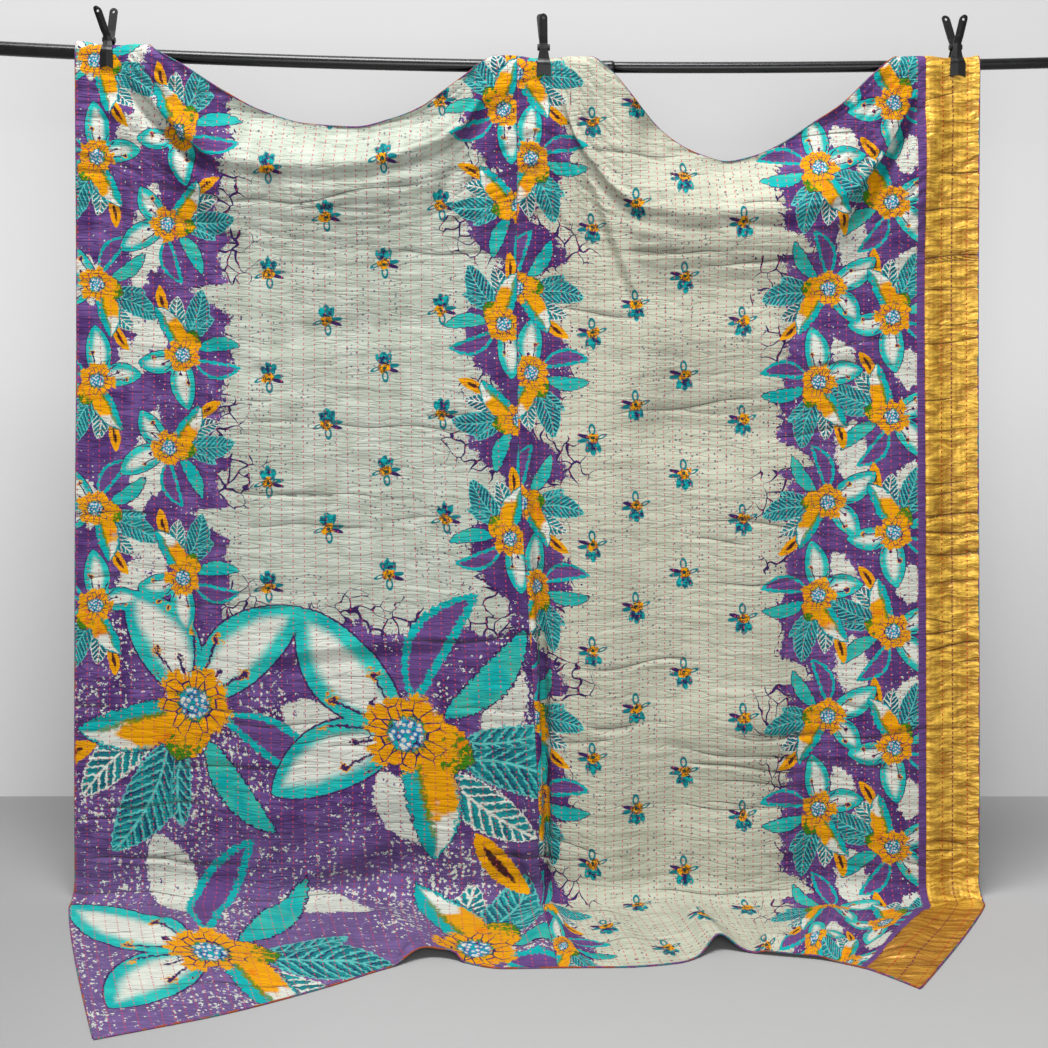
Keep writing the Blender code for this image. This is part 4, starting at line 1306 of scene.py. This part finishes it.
def gold_material():
    paint = Paint("gold_border", Roughness=0.42, Metallic=0.30, Specular_IOR_Level=0.5)
    x, run, relief_there = paint.fields("along", "run", "relief")
    bend = paint.noise(paint.vector(x, run), 26.0) * 0.012
    wrinkles = paint.noise(paint.vector(x * 22.0, (run + bend) * 84.0), 1.0, 2.0, 0.55)
    threads = paint.noise(paint.vector(x * 1500.0, run * 240.0), 1.0)
    valleys = (wrinkles - 0.46).abs().ease(0.012, 0.0)
    hollow = relief_there.ease(-0.0022, 0.0008)
    crease = crease_lines(paint, 0.0014, 0.0010)
    colour = paint.layers(
        # painted highlight and painted shade: lighter on the wrinkles' tops, darker lower down
        # them, following the bump
        paint.mix(wrinkles.ease(0.32, 0.66), GOLD_SHADED, GOLD_HIGHLIT),
        (threads.ease(0.35, 0.75) * 0.25, GOLD_THREAD),
        # painted shade in the wrinkles' valleys and the relief's hollows, and on the next line a
        # painted shadow along the creases
        (valleys * 0.55, GOLD_VALLEY_SHADE), ((1.0 - hollow) * 0.50, GOLD_HOLLOW_SHADE),
        # painted shade: darker and browner where the gold lies on the floor, standing in for its
        # darker reflection there
        (run.ease(1.66, 1.72) * 0.6, GOLD_FLOOR_SHADE), (crease * 0.75, GOLD_CREASE))
    for place, colour_there, share in GOLD_STITCHES:
        line = x.near(place, GOLD_STITCH_HALF_WIDTH)
        dash = (run / GOLD_STITCH_SPACING + place * 7.0).fraction()
        colour = paint.mix(line * dash.below(share, 0.08), colour, colour_there)
    return paint.finish(colour, wrinkles * 0.0060 - crease * 0.0015)


def back_material():
    paint = Paint("backing_cotton", Roughness=0.85, Sheen_Weight=0.12, Specular_IOR_Level=0.2)
    x, run = paint.fields("along", "run")
    colour = paint.mix(paint.noise(paint.vector(x, run), 30.0), BACK_DARK, BACK_LIGHT)
    return paint.finish(stitches(paint, colour), cloth_height(paint, x, run)[0])


def hem_material():
    paint = Paint("turned_hem", Roughness=0.85, Specular_IOR_Level=0.2)
    colour = paint.layers(
        paint.mix(paint.solid_noise(14.0, 2.0).ease(0.46, 0.54), HEM_BROWN, DEEP_TEAL),
        (paint.solid_noise(40.0, 2.0).above(0.52, 0.04), PURPLE),
        (paint.solid_noise(320.0, 1.0).above(0.58, 0.05) * 0.6, STITCH))
    return paint.finish(colour, paint.solid_noise(600.0, 2.0) * 0.0006)


def rod_material():
    paint = Paint("black_rod", Specular_IOR_Level=0.55)
    rubbed = paint.solid_noise(60.0, 4.0, 0.7)
    colour = paint.mix(rubbed.ease(0.45, 0.75), BLACK, ROD_RUBBED)
    return paint.finish(colour, paint.solid_noise(900.0, 2.0) * 0.00003, 0.22 + 0.12 * rubbed)


def clip_material():
    paint = Paint("black_plastic", Specular_IOR_Level=0.42)
    worn = paint.solid_noise(190.0, 4.0, 0.7)
    colour = paint.mix(worn.ease(0.56, 0.76) * 0.6, BLACK, CLIP_WORN)
    return paint.finish(colour, paint.solid_noise(1400.0, 2.0) * 0.00006, 0.30 + 0.20 * worn)


# --- building the pieces -----------------------------------------------------------------------

def mesh_piece(name, points, faces, material=None, fields=None):
    mesh = bpy.data.meshes.new(name)
    mesh.from_pydata(points.reshape(-1, 3).tolist(), [], faces)
    for group in FIELD_GROUPS:
        if fields and group[0] in fields:
            values = np.zeros((len(mesh.vertices), 3), np.float32)
            for k, field_name in enumerate(group):
                if field_name in fields:
                    values[:, k] = np.ravel(fields[field_name])
            layer = mesh.attributes.new("_".join(group), "FLOAT_VECTOR", "POINT")
            layer.data.foreach_set("vector", values.ravel())
    mesh.shade_smooth()
    if material:
        mesh.materials.append(material)
    piece = bpy.data.objects.new(name, mesh)
    bpy.context.scene.collection.objects.link(piece)
    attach(piece, "root")
    return piece


def grid_faces(columns, rows, flip=False):
    i, j = np.meshgrid(np.arange(columns - 1), np.arange(rows - 1), indexing="ij")
    corner = (i * rows + j).ravel()
    faces = np.stack([corner, corner + 1, corner + rows + 1, corner + rows], -1)
    return (faces[:, ::-1] if flip else faces).tolist()


def tube_faces(rings, sides):
    """Faces between rings of points, with a cap at each end."""
    faces = []
    for start in range(0, (rings - 1) * sides, sides):
        for k in range(sides):
            after = (k + 1) % sides
            faces.append((start + k, start + sides + k, start + sides + after, start + after))
    last = (rings - 1) * sides
    return faces + [tuple(range(sides)), tuple(last + k for k in reversed(range(sides)))]


def sheet_grid(xs, rows):
    """Columns and runs of a sheet's vertices: each column has its rows evenly down its length."""
    top, bottom = run_ends(xs)
    share = np.linspace(0.0, 1.0, rows)
    run = top[:, None] + (bottom - top)[:, None] * share[None, :]
    return np.broadcast_to(xs[:, None], run.shape).copy(), run


def front_columns(left, right, pitch):
    step = pitch / COLUMNS_PER_ROW
    inner = np.arange(left + FIRST_ROW_SHARE * step, right - 0.5 * step, step)
    return np.concatenate([[left], inner, [right]])


def print_choice(fields, faces):
    """What is near each face: a sprig 1, leaves 2, petals or a heart 4, printed ground 8."""
    sprig = np.hypot(fields["sprig_x"], fields["sprig_y"]) < SPRIG_NEAR
    leaf = np.min([fields[name] for name in LEAF_SHAPES], axis=0) < SHAPE_NEAR
    petal = np.minimum(fields["petal"], fields["yellow"]) < SHAPE_NEAR
    petal |= fields["bloom_away"] < HEART_NEAR
    edge = fields["ground"] < fields["twig_reach"] + EDGE_NEAR
    corners = np.array(faces)
    return sum(2 ** k * near.ravel()[corners].any(-1)
               for k, near in enumerate((sprig, leaf, petal, edge)))


def build_front(node, left, right, pitch, print_fields):
    x, run = sheet_grid(front_columns(left, right, pitch), ROWS)
    first_row = left + FIRST_ROW_SHARE * pitch / COLUMNS_PER_ROW
    high, wrinkles = relief(x, run, pitch, first_row, print_fields is None)
    middle, normals = cloth_points(x, run)
    points = middle + normals * (THICKNESS / 2 + high)[..., None]
    fields = {"along": x, "run": run, **wrinkles,
              "seam": np.minimum(np.abs(x - SEAM_X), np.abs(x - GOLD_SEAM_X)),
              **stitch_fields(x, run, first_row, pitch, FRONT_STITCH_SEED)}
    faces = grid_faces(*x.shape)
    if print_fields is None:
        piece = mesh_piece(node + "_front", points, faces, gold_material(), fields)
    else:
        fields.update(print_fields(x, run))
        piece = mesh_piece(node + "_front", points, faces, fields=fields)
        choice, slots = np.unique(print_choice(fields, faces), return_inverse=True)
        for things in choice:
            piece.data.materials.append(print_material(int(things)))
        piece.data.polygons.foreach_set("material_index", slots.astype(np.int32))
    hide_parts(node)
    return piece


def build_back(node, left, right, pitch, material):
    count = round((right - left) / BACK_COLUMN_STEP)
    x, run = sheet_grid(np.linspace(left, right, count), BACK_ROWS)
    middle, normals = cloth_points(x, run)
    points = middle - normals * (THICKNESS / 2 + BACK_PUFF)
    fields = {"along": x, "run": run, **stitch_fields(x, run, left, pitch, BACK_STITCH_SEED)}
    piece = mesh_piece(node + "_back", points, grid_faces(*x.shape, flip=True), material, fields)
    return piece


def build_hem(name, x, run, material):
    """A turned hem: a thin round along a path over the cloth's edge."""
    middle, normal = cloth_points(x, run)
    out = np.cross(normal, np.gradient(middle, axis=0))
    out /= np.linalg.norm(out, axis=-1, keepdims=True)
    turns = [2.0 * math.pi * k / HEM_TURNS for k in range(HEM_TURNS)]
    points = np.stack([middle + HEM_ROUND * (math.cos(turn) * out + math.sin(turn) * normal)
                       for turn in turns], axis=1)
    piece = mesh_piece(name, points, tube_faces(len(x), HEM_TURNS), material)
    return piece


def build_hems(material):
    """Each sheet's turned hems: along its top and bottom, and down the quilt's two sides."""
    hems = {}
    for key, left, right in (("left", LEFT_EDGE, SEAM_X), ("right", SEAM_X, GOLD_SEAM_X),
                             ("gold", GOLD_SEAM_X, RIGHT_EDGE)):
        x = np.arange(left, right, HEM_STEP)
        hems[key] = [build_hem("hem_%s_%s" % (key, end), x, run, material)
                     for end, run in zip(("top", "bottom"), run_ends(x))]
    for key, x in (("left", LEFT_EDGE), ("gold", RIGHT_EDGE)):
        top, bottom = (float(value[0]) for value in run_ends(np.array([x])))
        run = np.arange(top, bottom, HEM_STEP)
        hems[key].append(build_hem("hem_%s_side" % key, np.full(run.shape, x), run, material))
    return hems


def build_rod(material):
    for index, (node, start, end, radius) in enumerate(ROD_SECTIONS):
        first = start + (ROD_JOINT_GAP if index else 0.0)
        inner = first + ROD_ROUND
        last = end - ROD_ROUND
        stations = [(first, radius - 0.0012), (first + 0.0004, radius - 0.0004), (inner, radius)]
        places = np.arange(inner + ROD_STEP, last - ROD_LIP_LENGTH - 0.004, ROD_STEP)
        stations += [(float(x), radius) for x in places]
        if index < len(ROD_SECTIONS) - 1:
            lip = end - ROD_LIP_LENGTH
            stations += [(lip - 0.0008, radius), (lip, radius + ROD_LIP_HEIGHT)]
            radius = radius + ROD_LIP_HEIGHT
        stations += [(last, radius), (end - 0.0004, radius - 0.0005), (end, radius - 0.0014)]
        turns = [2.0 * math.pi * k / ROD_SIDES for k in range(ROD_SIDES)]
        points = [(x, r * math.cos(turn), float(rod_z(x)) + r * math.sin(turn))
                  for x, r in stations for turn in turns]
        piece = mesh_piece(node + "_tube", np.array(points),
                           tube_faces(len(stations), ROD_SIDES), material)
        piece.data.set_sharp_from_angle(angle=ROD_SHARP_ANGLE)
        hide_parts(node)


def dress_clips(material):
    for name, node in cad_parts.items():
        if not name.startswith("clip_"):
            continue
        for slot_there in node.material_slots:
            slot_there.material = material
        bevel = node.modifiers.new("edge", "BEVEL")
        bevel.width = CLIP_BEVEL
        bevel.segments = 3
        bevel.limit_method = "ANGLE"
        bevel.angle_limit = CLIP_BEVEL_ANGLE


# --- stage, lights, camera ---------------------------------------------------------------------
WALL_Y = 0.55
WALL_TOP = 3.2
STAGE_REACH = 5.0
FLOOR_UNDER = 0.0004
CAMERA = (1.100, -3.0486, -0.4838)
CAMERA_PITCH = math.radians(1.476)
CAMERA_LENS = 52.56
CAMERA_SHIFT = -0.185
WORLD_STRENGTH = 0.225
# name, place, what it shines at, size, power
LIGHTS = (
    ("key", (0.6, -1.5, 3.5), (1.1, 0.0, -0.6), (2.8, 1.4), 248.0),
    ("fill", (1.4, -4.6, -0.2), (1.1, 0.0, -0.9), (3.0, 2.0), 74.0),
)


def plane(name, corners, material):
    mesh = bpy.data.meshes.new(name)
    mesh.from_pydata(corners, [], [(0, 1, 2, 3)])
    mesh.materials.append(material)
    item = bpy.data.objects.new(name, mesh)
    bpy.context.scene.collection.objects.link(item)


def stage_material(name, colours, axis, low, high):
    """A pale, slightly mottled surface, a little darker from low to high on an axis."""
    paint = Paint(name, Roughness=0.9, Specular_IOR_Level=0.1)
    share = paint.node("SeparateXYZ", {0: paint.place()}, axis).ease(low, high)
    mottle = paint.solid_noise(1.6, 1.0)
    return paint.finish(paint.mix(share + (mottle - 0.5) * 0.12, *colours))


def one_sided(material):
    """Lets a wall show only its front, so that it hides nothing from behind."""
    nodes, links = material.node_tree.nodes, material.node_tree.links
    geometry = nodes.new("ShaderNodeNewGeometry")
    clear = nodes.new("ShaderNodeBsdfTransparent")
    mix = nodes.new("ShaderNodeMixShader")
    links.new(geometry.outputs["Backfacing"], mix.inputs[0])
    links.new(nodes["Principled BSDF"].outputs[0], mix.inputs[1])
    links.new(clear.outputs[0], mix.inputs[2])
    links.new(mix.outputs[0], nodes["Material Output"].inputs["Surface"])
    return material


def build_stage():
    middle = (CAD_BOX[0].x + CAD_BOX[1].x) / 2
    left, right = middle - STAGE_REACH, middle + STAGE_REACH
    z = FLOOR_Z - FLOOR_UNDER
    plane("floor", [(left, -STAGE_REACH, z), (right, -STAGE_REACH, z),
                    (right, STAGE_REACH, z), (left, STAGE_REACH, z)],
          stage_material("pale_floor", FLOOR_COLOURS, "X", 0.9, 0.0))
    # Painted light: the wall is painted darker towards its top and lighter towards its bottom, to
    # even out the key light falling off down it.
    plane("wall", [(left, WALL_Y, z), (right, WALL_Y, z),
                   (right, WALL_Y, WALL_TOP), (left, WALL_Y, WALL_TOP)],
          one_sided(stage_material("pale_wall", WALL_COLOURS, "Z", -0.7, 0.3)))


def build_lights():
    for name, place, target, size, power in LIGHTS:
        light = bpy.data.lights.new(name, "AREA")
        light.shape = "RECTANGLE"
        light.size, light.size_y = size
        light.energy = power
        item = bpy.data.objects.new(name, light)
        item.location = place
        towards = Vector(target) - Vector(place)
        item.rotation_euler = towards.to_track_quat("-Z", "Y").to_euler()
        bpy.context.scene.collection.objects.link(item)
    world = bpy.data.worlds.new("studio")
    world.use_nodes = True
    background = world.node_tree.nodes["Background"]
    background.inputs["Color"].default_value = (1.0, 1.0, 1.0, 1.0)
    background.inputs["Strength"].default_value = WORLD_STRENGTH
    bpy.context.scene.world = world
    # Plain cloth in a pale room needs few bounces.
    cycles = bpy.context.scene.cycles
    cycles.use_light_tree = False
    cycles.max_bounces, cycles.diffuse_bounces, cycles.glossy_bounces = 1, 1, 1


def build_camera():
    data = bpy.data.cameras.new("camera")
    data.sensor_width = 36.0
    data.lens = CAMERA_LENS
    data.shift_y = CAMERA_SHIFT
    camera = bpy.data.objects.new("camera", data)
    camera.location = CAMERA
    camera.rotation_euler = (math.pi / 2 - CAMERA_PITCH, 0.0, 0.0)
    bpy.context.scene.collection.objects.link(camera)
    bpy.context.scene.camera = camera
    bpy.context.scene.view_settings.view_transform = "Standard"


def main():
    back = back_material()
    hems = build_hems(hem_material())
    # each sheet's hems, node, edges, pitch of its stitch rows, print and slot
    panels = (
        ("left", "quilt_left_panel", LEFT_EDGE, SEAM_X, LEFT_PITCH, left_print,
         "printed_cotton"),
        ("right", "quilt_right_panel", SEAM_X, GOLD_SEAM_X, RIGHT_PITCH, right_print,
         "printed_cotton"),
        ("gold", "zari_border", GOLD_SEAM_X, RIGHT_EDGE, GOLD_PITCH, None, "gold_border"),
    )
    for key, node, left, right, pitch, print_fields, slot in panels:
        front = build_front(node, left, right, pitch, print_fields)
        behind = build_back(node, left, right, pitch, back)
        top, bottom = run_ends(np.linspace(left, right, 9))
    build_rod(rod_material())
    dress_clips(clip_material())
    build_stage()
    build_lights()
    build_camera()


main()
